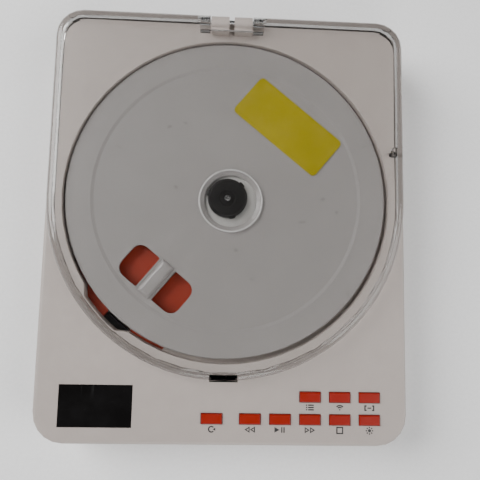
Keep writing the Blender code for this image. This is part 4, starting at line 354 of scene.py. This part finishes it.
def smoothing_group():
    """Joins split corners and shades the faces smooth, apart from edges over an angle."""
    group = bpy.data.node_groups.new("smooth_by_angle", "GeometryNodeTree")
    group.is_modifier = True
    group.interface.new_socket("Geometry", in_out="INPUT", socket_type="NodeSocketGeometry")
    limit = group.interface.new_socket("Sharp Angle", in_out="INPUT", socket_type="NodeSocketFloat")
    limit.default_value = SHARP_ANGLE
    group.interface.new_socket("Geometry", in_out="OUTPUT", socket_type="NodeSocketGeometry")
    start = add_node(group, "NodeGroupInput")
    end = add_node(group, "NodeGroupOutput")
    joined = add_node(group, "GeometryNodeMergeByDistance")
    joined.inputs["Distance"].default_value = WELD_DISTANCE
    angle = add_node(group, "GeometryNodeInputMeshEdgeAngle").outputs["Unsigned Angle"]
    sharp = add_node(group, "FunctionNodeCompare", data_type="FLOAT", operation="GREATER_THAN")
    group.links.new(start.outputs["Sharp Angle"], sharp.inputs["B"])
    faces = add_node(group, "GeometryNodeSetShadeSmooth", domain="FACE")
    edges = add_node(group, "GeometryNodeSetShadeSmooth", domain="EDGE")
    edges.inputs["Shade Smooth"].default_value = False
    group.links.new(start.outputs["Geometry"], joined.inputs["Geometry"])
    group.links.new(joined.outputs["Geometry"], faces.inputs["Geometry"])
    group.links.new(faces.outputs["Geometry"], edges.inputs["Geometry"])
    group.links.new(angle, sharp.inputs["A"])
    group.links.new(sharp.outputs["Result"], edges.inputs["Selection"])
    group.links.new(edges.outputs["Geometry"], end.inputs["Geometry"])
    return group


def front_tab_group():
    """Squares the lid's rounded front edge over the latch slot with a clear block."""
    group = bpy.data.node_groups.new("front_tab", "GeometryNodeTree")
    group.is_modifier = True
    group.interface.new_socket("Geometry", in_out="INPUT", socket_type="NodeSocketGeometry")
    group.interface.new_socket("Geometry", in_out="OUTPUT", socket_type="NodeSocketGeometry")
    start = add_node(group, "NodeGroupInput")
    end = add_node(group, "NodeGroupOutput")
    joined = add_node(group, "GeometryNodeMergeByDistance")
    joined.inputs["Distance"].default_value = WELD_DISTANCE
    block = add_node(group, "GeometryNodeMeshCube")
    block.inputs["Size"].default_value = TAB_SIZE
    placed = add_node(group, "GeometryNodeTransform")
    placed.inputs["Translation"].default_value = TAB_PLACE
    union = add_node(group, "GeometryNodeMeshBoolean", operation="UNION", solver="EXACT")
    group.links.new(start.outputs["Geometry"], joined.inputs["Geometry"])
    group.links.new(block.outputs["Mesh"], placed.inputs["Geometry"])
    group.links.new(joined.outputs["Geometry"], union.inputs["Mesh 2"])
    group.links.new(placed.outputs["Geometry"], union.inputs["Mesh 2"])
    group.links.new(union.outputs["Mesh"], end.inputs["Geometry"])
    return group


def soften(name, angle=SHARP_ANGLE):
    """Shades a CAD node smooth across its rounded faces, with its flat faces kept flat."""
    group = bpy.data.node_groups.get("smooth_by_angle") or smoothing_group()
    smooth = NODES[name].modifiers.new("smooth", "NODES")
    smooth.node_group = group
    for item in group.interface.items_tree:
        if item.name == "Sharp Angle":
            smooth[item.identifier] = angle
    weighted = NODES[name].modifiers.new("flat_faces", "WEIGHTED_NORMAL")
    weighted.weight = 100
    weighted.keep_sharp = True


def opaque(colour):
    return (*colour, 1.0)


# Finishes


def moulded_plastic(name, colour, gloss, shade=0.04, bump=0.012, wear=0.25, dust=0.06, grain=None):
    """Moulded plastic with grain, rubbed edges and a little dust."""
    sizes = bpy.context.scene.player_sizes
    material, tree, shader = new_material(name)
    grained = effect(
        tree, "moulded_grain", Colour=opaque(colour), Shade_Change=shade,
        Gloss_Low=gloss[0], Gloss_High=gloss[1], Grain_Scale=1.0 / (grain or sizes.grain),
    )
    worn_colour = tuple(min(1.0, c * 1.3 + 0.002) for c in colour)
    worn = effect(
        tree, "edge_wear", Colour=grained.outputs["Colour"],
        Worn_Colour=opaque(worn_colour), Amount=wear,
    )
    dusty = effect(tree, "settled_dust", Colour=worn.outputs["Colour"], Amount=dust)
    tree.links.new(dusty.outputs["Colour"], shader.inputs["Base Color"])
    rough = math_node(tree, "ADD", grained.outputs["Roughness"],
                      math_node(tree, "MULTIPLY", dusty.outputs["Mask"], 0.3))
    tree.links.new(rough, shader.inputs["Roughness"])
    add_bump(tree, shader, grained.outputs["Height"], bump * MM)
    return material


def case_plastic():
    return moulded_plastic(
        "case_white_plastic", bpy.context.scene.player_colours.case, (0.38, 0.5), 0.025, 0.014, 0.2, 0.05
    )


def card_plastic():
    return moulded_plastic(
        "card_pale_plastic", bpy.context.scene.player_colours.card, (0.27, 0.31), 0.02, 0.004, 0.4, 0.04
    )


# Painted highlight: the card's plastic made lighter, for a bright line on the card's ring.
def bead_highlight_plastic():
    return moulded_plastic(
        "polished_card_plastic_painted_highlight", bpy.context.scene.player_colours.bead, (0.1, 0.16), 0.03, 0.002, 0.3, 0.03
    )


def cover_plastic():
    return moulded_plastic(
        "drive_cover_orange", bpy.context.scene.player_colours.cover, (0.4, 0.5), 0.06, 0.008, 0.2, 0.006
    )


def button_plastic():
    return moulded_plastic(
        "button_orange", bpy.context.scene.player_colours.button, (0.3, 0.36), 0.04, 0.005, 0.15, 0.008
    )


def black_plastic():
    return moulded_plastic(
        "satin_black_plastic", bpy.context.scene.player_colours.black, (0.3, 0.42), 0.15, 0.01, 0.3, 0.004
    )


def natural_plastic():
    return moulded_plastic(
        "natural_gear_plastic", (0.40, 0.388, 0.37), (0.35, 0.45), 0.05, 0.006, 0.3, 0.03
    )


def rubber():
    return moulded_plastic(
        "black_rubber", (0.022, 0.021, 0.021), (0.75, 0.9), 0.25, 0.02, 0.3, 0.12, 0.25 * MM
    )


def display_glass():
    """Smoked glossy plastic with faint hairlines and a soft dusty film."""
    colours = bpy.context.scene.player_colours
    material, tree, shader = new_material("display_smoked_plastic")
    scratched = effect(tree, "hairline_scratches", Amount=0.35, Density=90.0)
    dusty = effect(
        tree, "settled_dust", Colour=opaque(colours.window), Amount=0.02,
        Dust_Colour=(0.25, 0.25, 0.26, 1.0),
    )
    mixed = blend_colours(tree, math_node(tree, "MULTIPLY", scratched.outputs["Mask"], 0.1),
                          dusty.outputs["Colour"], (0.2, 0.2, 0.2, 1.0))
    tree.links.new(mixed, shader.inputs["Base Color"])
    rough = math_node(tree, "ADD", math_node(tree, "MULTIPLY", scratched.outputs["Mask"], 0.4), 0.09)
    tree.links.new(rough, shader.inputs["Roughness"])
    add_bump(tree, shader, scratched.outputs["Mask"], 0.004 * MM, 0.2)
    return material


def lid_plastic():
    """Clear plastic with hairlines and painted shade on its upright walls; light that only casts shadows
    passes through it.
    """
    material, tree, shader = new_material("clear_lid_plastic")
    scratched = effect(tree, "hairline_scratches", Amount=0.12, Density=55.0)
    place = add_node(tree, "ShaderNodeTexCoord").outputs["Object"]
    film = spread(tree, noise(tree, place, 35.0, 4.0), 0.35, 0.7, 0.02, 0.06)
    rough = math_node(tree, "ADD", film, math_node(tree, "MULTIPLY", scratched.outputs["Mask"], 0.2))
    tree.links.new(rough, shader.inputs["Roughness"])
    facing = add_node(tree, "ShaderNodeSeparateXYZ")
    tree.links.new(add_node(tree, "ShaderNodeNewGeometry").outputs["Normal"], facing.inputs["Vector"])
    # Painted shade: upright faces get a darker grey tint than the top, which draws dark lines along the
    # lid's rim.
    wall_shade_mask = spread(tree, math_node(tree, "ABSOLUTE", facing.outputs["Z"], 0.0), 0.1, 0.9, 1.0, 0.0)
    shaded_wall_tint = blend_colours(tree, wall_shade_mask, (0.97, 0.97, 0.965, 1.0), (0.75, 0.74, 0.73, 1.0))
    tint = blend_colours(tree, scratched.outputs["Mask"], shaded_wall_tint, (0.8, 0.8, 0.8, 1.0))
    tree.links.new(tint, shader.inputs["Base Color"])
    shader.inputs["Transmission Weight"].default_value = 1.0
    shader.inputs["IOR"].default_value = 1.49
    shadow = add_node(tree, "ShaderNodeLightPath").outputs["Is Shadow Ray"]
    tree.links.new(spread(tree, shadow, 0.0, 1.0, 1.0, 0.06), shader.inputs["Alpha"])
    add_bump(tree, shader, scratched.outputs["Mask"], 0.003 * MM, 0.15)
    inside = add_node(tree, "ShaderNodeVolumeAbsorption")
    inside.inputs["Color"].default_value = (0.02, 0.02, 0.02, 1.0)
    inside.inputs["Density"].default_value = LID_ABSORPTION
    tree.links.new(inside.outputs["Volume"], tree.nodes["Material Output"].inputs["Volume"])
    return material


def sticker_film():
    """Yellow film with a slightly wavy, half gloss face."""
    colours = bpy.context.scene.player_colours
    material, tree, shader = new_material("sticker_yellow_film")
    grained = effect(
        tree, "moulded_grain", Colour=opaque(colours.sticker), Shade_Change=0.09,
        Gloss_Low=0.28, Gloss_High=0.42, Grain_Scale=4200.0,
    )
    dusty = effect(tree, "settled_dust", Colour=grained.outputs["Colour"], Amount=0.02)
    tree.links.new(dusty.outputs["Colour"], shader.inputs["Base Color"])
    tree.links.new(grained.outputs["Roughness"], shader.inputs["Roughness"])
    place = add_node(tree, "ShaderNodeTexCoord").outputs["Object"]
    add_bump(tree, shader, noise(tree, place, 180.0, 2.0), 0.12 * MM, 0.5)
    return material


def worked_metal(name, colour, gloss, direction):
    """Bare metal with a fine grain that is drawn out one way."""
    material, tree, shader = new_material(name)
    place = add_node(tree, "ShaderNodeTexCoord").outputs["Object"]
    mapping = add_node(tree, "ShaderNodeMapping")
    mapping.inputs["Scale"].default_value = direction
    tree.links.new(place, mapping.inputs["Vector"])
    lines = noise(tree, mapping.outputs["Vector"], 2600.0, 3.0)
    tarnish = noise(tree, place, 320.0, 4.0)
    stained = blend_colours(tree, spread(tree, tarnish, 0.45, 0.75, 0.0, 0.5),
                            opaque(colour), opaque(tuple(c * 0.6 for c in colour)))
    worn = effect(tree, "edge_wear", Colour=stained,
                  Worn_Colour=opaque(tuple(min(1.0, c * 1.3) for c in colour)), Amount=0.5)
    tree.links.new(worn.outputs["Colour"], shader.inputs["Base Color"])
    tree.links.new(spread(tree, lines, 0.3, 0.7, *gloss), shader.inputs["Roughness"])
    shader.inputs["Metallic"].default_value = 1.0
    add_bump(tree, shader, lines, 0.004 * MM, 0.3)
    return material


def ground_steel():
    return worked_metal("ground_steel", (0.58, 0.58, 0.58), (0.18, 0.34), (1.0, 1.0, 0.1))


def machined_brass():
    return worked_metal("machined_brass", (0.60, 0.43, 0.18), (0.2, 0.35), (1.0, 1.0, 0.1))


def satin_silver():
    return worked_metal("satin_silver", (0.52, 0.53, 0.55), (0.3, 0.45), (0.2, 1.0, 1.0))


def board_resist():
    """Green solder resist with copper tracks under it and pale solder points."""
    colours = bpy.context.scene.player_colours
    material, tree, shader = new_material("green_circuit_board")
    place = add_node(tree, "ShaderNodeTexCoord").outputs["Object"]
    tracks = add_node(tree, "ShaderNodeTexBrick", offset=0.35, squash=0.6, squash_frequency=3)
    tracks.inputs["Scale"].default_value = 420.0
    tracks.inputs["Mortar Size"].default_value = 0.012
    tracks.inputs["Color1"].default_value = opaque(colours.board)
    tracks.inputs["Color2"].default_value = opaque(tuple(c * 0.8 for c in colours.board))
    tracks.inputs["Mortar"].default_value = opaque(tuple(min(1.0, c * 2.4 + 0.01) for c in colours.board))
    tree.links.new(place, tracks.inputs["Vector"])
    points = add_node(tree, "ShaderNodeTexVoronoi")
    points.inputs["Scale"].default_value = 330.0
    tree.links.new(place, points.inputs["Vector"])
    solder = spread(tree, points.outputs["Distance"], 0.10, 0.13, 1.0, 0.0)
    colour = blend_colours(tree, solder, tracks.outputs["Color"], (0.5, 0.5, 0.48, 1.0))
    tree.links.new(colour, shader.inputs["Base Color"])
    tree.links.new(solder, shader.inputs["Metallic"])
    tree.links.new(spread(tree, tracks.outputs["Fac"], 0.0, 1.0, 0.42, 0.3), shader.inputs["Roughness"])
    add_bump(tree, shader, tracks.outputs["Fac"], 0.03 * MM, 0.4)
    return material


def lens_glass():
    """A coated lens with a bluish sheen and a trace of dust."""
    material, tree, shader = new_material("coated_lens_glass")
    place = add_node(tree, "ShaderNodeTexCoord").outputs["Object"]
    film = noise(tree, place, 900.0, 3.0)
    colour = blend_colours(tree, spread(tree, film, 0.3, 0.7, 0.0, 1.0),
                           (0.10, 0.14, 0.42, 1.0), (0.20, 0.12, 0.38, 1.0))
    tree.links.new(colour, shader.inputs["Base Color"])
    tree.links.new(spread(tree, film, 0.3, 0.7, 0.03, 0.08), shader.inputs["Roughness"])
    shader.inputs["Transmission Weight"].default_value = 0.6
    return material


def mark_ink():
    """Screen-printed ink, a little uneven, with rubbed spots."""
    colours = bpy.context.scene.player_colours
    material, tree, shader = new_material("printed_mark_ink")
    place = add_node(tree, "ShaderNodeTexCoord").outputs["Object"]
    patches = noise(tree, place, 1400.0, 3.0)
    faded = tuple(min(1.0, c * 1.6 + 0.03) for c in colours.print)
    thin = spread(tree, patches, 0.4, 0.75, 0.0, 1.0)
    colour = blend_colours(tree, thin, opaque(colours.print), opaque(faded))
    tree.links.new(colour, shader.inputs["Base Color"])
    tree.links.new(spread(tree, patches, 0.3, 0.7, 0.45, 0.6), shader.inputs["Roughness"])
    return material


FINISHES = {
    "white_plastic": case_plastic,
    "card_plastic": card_plastic,
    "clear_plastic": lid_plastic,
    "orange_plastic": button_plastic,
    "black_plastic": black_plastic,
    "glossy_black": display_glass,
    "yellow_film": sticker_film,
    "steel": ground_steel,
    "brass": machined_brass,
    "black_rubber": rubber,
    "board_green": board_resist,
    "lens_glass": lens_glass,
    "foil_silver": satin_silver,
    "natural_plastic": natural_plastic,
}


MADE = {}


def made_once(maker):
    """A finish's material, made at its first use and shared after that."""
    if maker.__name__ not in MADE:
        MADE[maker.__name__] = maker()
    return MADE[maker.__name__]


def record_slot(node):
    for subpart in FRAME["record"]["subparts"]:
        if subpart["node"] == node:
            return subpart["material_slot"]
    raise KeyError(node)


def finish_nodes(names, build=None):
    """Gives CAD nodes the finish of their slot in the record, or the one that is passed."""
    for name in names:
        materials = NODES[name].data.materials
        materials.clear()
        materials.append(made_once(build or FINISHES[record_slot(name)]))
        soften(name, SHARP_ANGLES.get(name, SHARP_ANGLE))


def place_piece(name, mesh, material, body):
    """Puts a new piece in the scene with its material, on the body that carries it."""
    mesh.materials.append(material)
    piece = bpy.data.objects.new(name, mesh)
    bpy.context.scene.collection.objects.link(piece)
    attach(piece, body)
    return piece


# Bead on the card's ring


def ring_bead():
    """A polished half-round bead on the crest of the card's ring, coloured lighter than the card as a
    painted highlight.
    """
    form = bmesh.new()
    profile = []
    for i in range(BEAD_STEPS + 1):
        turn = math.pi * i / BEAD_STEPS
        radius = BEAD_RADIUS - BEAD_HALF_WIDTH * math.cos(turn)
        profile.append((radius, BEAD_BOTTOM + BEAD_RISE * math.sin(turn)))
    rings = []
    for i in range(BEAD_SIDES):
        turn = 2 * math.pi * i / BEAD_SIDES
        rings.append([
            form.verts.new((BEAD_X + r * math.cos(turn), BEAD_Y + r * math.sin(turn), z)) for r, z in profile
        ])
    for i in range(BEAD_SIDES):
        first, second = rings[i - 1], rings[i]
        for j in range(len(profile)):
            form.faces.new((first[j - 1], first[j], second[j], second[j - 1]))
    bmesh.ops.recalc_face_normals(form, faces=form.faces)
    mesh = bpy.data.meshes.new("card_ring_bead")
    form.to_mesh(mesh)
    form.free()
    mesh.shade_smooth()
    return place_piece("card_ring_bead", mesh, bead_highlight_plastic(), "transport_card")


# Printed marks


def add_face(form, points):
    form.faces.new([form.verts.new((x, y, 0.0)) for x, y in points])


def triangle(form, x, width, height, pointing):
    back = x - pointing * width / 2
    tip = x + pointing * width / 2
    points = [(back, -height / 2), (tip, 0.0), (back, height / 2)]
    add_face(form, points if pointing > 0 else points[::-1])


def outlined_triangle(form, x, width, height, pointing, line):
    """A triangle drawn as three lines of one width."""
    back = x - pointing * width / 2
    tip = x + pointing * width / 2
    outer = [Vector((back, -height / 2)), Vector((tip, 0.0)), Vector((back, height / 2))]
    middle = sum(outer, Vector((0.0, 0.0))) / 3
    sides = [(outer[i] - outer[i - 1]).length for i in range(3)]
    inside = abs(width * height) / sum(sides)
    inner = [middle + (corner - middle) * (1 - line / inside) for corner in outer]
    for i in range(3):
        corners = (outer[i - 1], outer[i], inner[i], inner[i - 1])
        add_face(form, [tuple(corner) for corner in corners])


def bar(form, x, y, width, height):
    add_face(form, [
        (x - width / 2, y - height / 2), (x + width / 2, y - height / 2),
        (x + width / 2, y + height / 2), (x - width / 2, y + height / 2),
    ])


def ring_part(form, radius, line, start, end, steps=16):
    for i in range(steps):
        first = start + (end - start) * i / steps
        last = start + (end - start) * (i + 1) / steps
        outer = radius + line / 2
        inner = radius - line / 2
        add_face(form, [
            (inner * math.cos(first), inner * math.sin(first)),
            (outer * math.cos(first), outer * math.sin(first)),
            (outer * math.cos(last), outer * math.sin(last)),
            (inner * math.cos(last), inner * math.sin(last)),
        ])


def mark_mode(form, height, line):
    """An open ring with an arrow head: the play mode."""
    ring_part(form, height * 0.42, line, math.radians(40), math.radians(320))
    triangle(form, height * 0.42, height * 0.4, height * 0.45, -1)


def mark_previous(form, height, line):
    for x in (-height * 0.42, height * 0.42):
        outlined_triangle(form, x, height * 0.8, height * 0.95, -1, line * 0.8)


def mark_play(form, height, line):
    triangle(form, -height * 0.45, height * 0.8, height * 0.85, 1)
    bar(form, height * 0.3, 0.0, line, height * 0.85)
    bar(form, height * 0.65, 0.0, line, height * 0.85)


def mark_next(form, height, line):
    for x in (-height * 0.42, height * 0.42):
        outlined_triangle(form, x, height * 0.8, height * 0.95, 1, line * 0.8)


def mark_stop(form, height, line):
    side = height * 0.9
    for place in (-side / 2, side / 2):
        bar(form, 0.0, place, side + line, line)
        bar(form, place, 0.0, line, side)


def mark_light(form, height, line):
    """A sun: a small disc and eight rays."""
    ring_part(form, height * 0.13, height * 0.24, 0.0, 2 * math.pi)
    for i in range(8):
        turn = Matrix.Rotation(math.pi * i / 4, 2)
        points = [(height * 0.38, -line / 2), (height * 0.6, -line / 2),
                  (height * 0.6, line / 2), (height * 0.38, line / 2)]
        add_face(form, [tuple(turn @ Vector(p)) for p in points])


def mark_program(form, height, line):
    """Three list lines with a dot before each: the program."""
    for row in (-0.35, 0.0, 0.35):
        bar(form, height * 0.15, height * row, height * 0.9, line)
        bar(form, -height * 0.55, height * row, line, line)


def mark_wireless(form, height, line):
    """A dot with two arcs over it: the radio link."""
    ring_part(form, height * 0.06, height * 0.12, 0.0, 2 * math.pi, 8)
    for radius in (0.38, 0.66):
        ring_part(form, height * radius, line, math.radians(40), math.radians(140))
    bmesh.ops.translate(form, verts=form.verts, vec=(0.0, -height * 0.3, 0.0))


def mark_section(form, height, line):
    """Two brackets with a line between them: the repeated section."""
    for side in (-1, 1):
        bar(form, side * height * 0.7, 0.0, line, height * 0.85)
        for end in (-1, 1):
            bar(form, side * height * 0.58, end * (height * 0.425 - line / 2), height * 0.3, line)
    bar(form, 0.0, 0.0, height * 0.6, line)


MARKS = {
    "button_mode": mark_mode,
    "button_previous": mark_previous,
    "button_play": mark_play,
    "button_next": mark_next,
    "button_stop": mark_stop,
    "button_light": mark_light,
    "button_program": mark_program,
    "button_wireless": mark_wireless,
    "button_section": mark_section,
}


def printed_mark(button):
    """The mark printed on the deck in front of a button."""
    sizes = bpy.context.scene.player_sizes
    low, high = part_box(button)
    x = (low[0] + high[0]) / 2
    y = (low[1] + high[1]) / 2 - sizes.mark_drop
    form = bmesh.new()
    MARKS[button](form, sizes.mark_height, sizes.mark_line)
    bmesh.ops.recalc_face_normals(form, faces=form.faces)
    for face in form.faces:
        if face.normal.z < 0:
            face.normal_flip()
    mesh = bpy.data.meshes.new("mark_" + button)
    form.to_mesh(mesh)
    form.free()
    mesh.transform(Matrix.Translation((x, y, DECK + PRINT_LIFT)))
    return place_piece("mark_" + button, mesh, made_once(mark_ink), "case")


# Operators


class PLAYER_OT_case(bpy.types.Operator):
    """Finishes the two halves of the case, the feet and the screws"""

    bl_idname = "player.case"
    bl_label = "Case"

    def execute(self, context):
        screws = [f"case_screw_{i}" for i in range(1, 5)]
        feet = [f"rubber_foot_{i}" for i in range(1, 5)]
        finish_nodes(["top_case", "bottom_case", *screws, *feet])
        return {"FINISHED"}


class PLAYER_OT_lid(bpy.types.Operator):
    """Finishes the clear lid, its pin, its catch and the lid switch"""

    bl_idname = "player.lid"
    bl_label = "Lid"

    def execute(self, context):
        NODES["lid"].modifiers.new("front_tab", "NODES").node_group = front_tab_group()
        finish_nodes(["lid", "hinge_pin", "lid_catch", "lid_switch_body", "lid_switch_pin"])
        return {"FINISHED"}


class PLAYER_OT_card(bpy.types.Operator):
    """Finishes the transport card and its sticker"""

    bl_idname = "player.card"
    bl_label = "Transport card"

    def execute(self, context):
        finish_nodes(["transport_card", "card_sticker"])
        ring_bead()
        return {"FINISHED"}


class PLAYER_OT_drive(bpy.types.Operator):
    """Finishes the disc drive: cover, chassis, turntable, pickup, motors and gears"""

    bl_idname = "player.drive"
    bl_label = "Disc drive"

    def execute(self, context):
        finish_nodes(["drive_cover"], cover_plastic)
        finish_nodes([
            "drive_chassis", "drive_damper_1", "drive_damper_2", "drive_damper_3",
            "spindle_motor", "sled_motor", "main_guide_rod", "side_guide_rod", "gear_shaft",
            "pickup_sled", "lens_holder", "pickup_lens", "motor_pinion", "drive_gear",
            "turntable", "disc_hub", "spindle_shaft", "hub_claw_1", "hub_claw_2", "hub_claw_3",
        ])
        return {"FINISHED"}


class PLAYER_OT_buttons(bpy.types.Operator):
    """Finishes the nine buttons and prints a mark in front of each"""

    bl_idname = "player.buttons"
    bl_label = "Buttons and marks"

    def execute(self, context):
        finish_nodes(BUTTONS)
        for button in BUTTONS:
            printed_mark(button)
        return {"FINISHED"}


class PLAYER_OT_window(bpy.types.Operator):
    """Finishes the display window and the display under it"""

    bl_idname = "player.window"
    bl_label = "Display window"

    def execute(self, context):
        finish_nodes(["display_window", "display_module"])
        return {"FINISHED"}


class PLAYER_OT_boards(bpy.types.Operator):
    """Finishes the boards, the battery, the sockets and the power switch"""

    bl_idname = "player.boards"
    bl_label = "Boards and sockets"

    def execute(self, context):
        finish_nodes([
            "main_board", "main_chip", "main_capacitor", "board_link", "key_board", "key_pad",
            "battery", "headphone_jack", "charging_socket", "power_switch", "power_slider",
        ])
        return {"FINISHED"}


# Stage

CAMERA_PLACE = (-3.41 * MM, -26.17 * MM, 204.24 * MM)
CAMERA_AXES = (
    (0.998623, 0.021585, 0.047809),
    (-0.026651, 0.993795, 0.107990),
    (-0.045181, -0.109115, 0.993002),
)
CAMERA_LENS = 37.5
CAMERA_SENSOR = 36.0
CAMERA_CLIP = 0.005
LIGHTS = (
    ("key_light", (-0.75, 0.35, 0.62), 0.8, 15.5),
    ("fill_light", (0.8, -0.25, 0.62), 0.9, 7.5),
    ("front_light", (0.05, -0.95, 0.55), 0.7, 5.2),
)
SKY_LOW = 0.14
SKY_HIGH = 0.03
SKY_FADE_START = 0.35
SKY_FADE_END = 0.8
SKY_COLOUR = (1.0, 0.99, 0.98, 1.0)
BACKDROP = 0.85
FLOOR_COLOUR = (0.93, 0.93, 0.93, 1.0)
FLOOR_DROP = 0.1 * MM


def floor_material():
    """A pale, matt, faintly mottled floor."""
    material, tree, shader = new_material("pale_floor")
    grained = effect(
        tree, "moulded_grain", Colour=FLOOR_COLOUR, Shade_Change=0.006,
        Gloss_Low=0.7, Gloss_High=0.8, Grain_Scale=800.0,
    )
    tree.links.new(grained.outputs["Colour"], shader.inputs["Base Color"])
    tree.links.new(grained.outputs["Roughness"], shader.inputs["Roughness"])
    return material


class PLAYER_OT_stage(bpy.types.Operator):
    """Sets the floor, the soft lights and the camera"""

    bl_idname = "player.stage"
    bl_label = "Stage"

    def execute(self, context):
        half = context.scene.player_sizes.floor / 2
        form = bmesh.new()
        bmesh.ops.create_grid(form, x_segments=4, y_segments=4, size=half)
        mesh = bpy.data.meshes.new("floor")
        form.to_mesh(mesh)
        form.free()
        mesh.materials.append(floor_material())
        floor = bpy.data.objects.new("floor", mesh)
        floor.location.z = -FLOOR_DROP
        context.scene.collection.objects.link(floor)
        for name, place, size, power in LIGHTS:
            lamp = bpy.data.lights.new(name, "AREA")
            lamp.shape = "DISK"
            lamp.size = size
            lamp.energy = power
            light = bpy.data.objects.new(name, lamp)
            light.location = place
            light.rotation_euler = (-Vector(place)).to_track_quat("-Z", "Y").to_euler()
            context.scene.collection.objects.link(light)
        world = bpy.data.worlds.new("studio")
        world.use_nodes = True
        sky = world.node_tree
        background = sky.nodes["Background"]
        background.inputs["Color"].default_value = SKY_COLOUR
        height = add_node(sky, "ShaderNodeSeparateXYZ")
        sky.links.new(add_node(sky, "ShaderNodeTexCoord").outputs["Generated"], height.inputs["Vector"])
        glow = spread(
            sky, height.outputs["Z"], SKY_FADE_START, SKY_FADE_END, SKY_LOW, SKY_HIGH
        )
        # Rays that come straight from the camera, or through clear plastic, see a pale backdrop.
        ray = add_node(sky, "ShaderNodeLightPath")
        bounces = math_node(sky, "ADD", ray.outputs["Glossy Depth"], ray.outputs["Diffuse Depth"])
        direct = math_node(sky, "MAXIMUM", ray.outputs["Is Camera Ray"], ray.outputs["Is Transmission Ray"])
        seen = math_node(sky, "MULTIPLY", direct, math_node(sky, "LESS_THAN", bounces, 0.5))
        lift = math_node(sky, "MULTIPLY", math_node(sky, "SUBTRACT", BACKDROP, glow), seen)
        sky.links.new(math_node(sky, "ADD", glow, lift), background.inputs["Strength"])
        context.scene.world = world
        lens = bpy.data.cameras.new("camera")
        lens.sensor_width = CAMERA_SENSOR
        lens.lens = CAMERA_LENS
        lens.clip_start = CAMERA_CLIP
        camera = bpy.data.objects.new("camera", lens)
        turn = Matrix(CAMERA_AXES).transposed().to_4x4()
        camera.matrix_world = Matrix.Translation(CAMERA_PLACE) @ turn
        context.scene.collection.objects.link(camera)
        context.scene.camera = camera
        return {"FINISHED"}


OPERATORS = (
    PLAYER_OT_case,
    PLAYER_OT_lid,
    PLAYER_OT_card,
    PLAYER_OT_drive,
    PLAYER_OT_buttons,
    PLAYER_OT_window,
    PLAYER_OT_boards,
    PLAYER_OT_stage,
)


class PLAYER_PT_panel(bpy.types.Panel):
    """Lists the player's colours, sizes and pieces"""

    bl_label = "CD player"
    bl_idname = "PLAYER_PT_panel"
    bl_space_type = "VIEW_3D"
    bl_region_type = "UI"
    bl_category = "CD player"

    def draw(self, context):
        layout = self.layout
        for settings in (context.scene.player_colours, context.scene.player_sizes):
            for name in settings.__annotations__:
                layout.prop(settings, name)
        for operator in OPERATORS:
            layout.operator(operator.bl_idname)


CLASSES = (PlayerColours, PlayerSizes, *OPERATORS, PLAYER_PT_panel)


def register():
    for cls in CLASSES:
        bpy.utils.register_class(cls)
    bpy.types.Scene.player_colours = bpy.props.PointerProperty(type=PlayerColours)
    bpy.types.Scene.player_sizes = bpy.props.PointerProperty(type=PlayerSizes)


def unregister():
    del bpy.types.Scene.player_sizes
    del bpy.types.Scene.player_colours
    for cls in reversed(CLASSES):
        bpy.utils.unregister_class(cls)


def main():
    register()
    bpy.ops.player.case()
    bpy.ops.player.lid()
    bpy.ops.player.card()
    bpy.ops.player.drive()
    bpy.ops.player.buttons()
    bpy.ops.player.window()
    bpy.ops.player.boards()
    bpy.ops.player.stage()


if __name__ == "__main__":
    main()
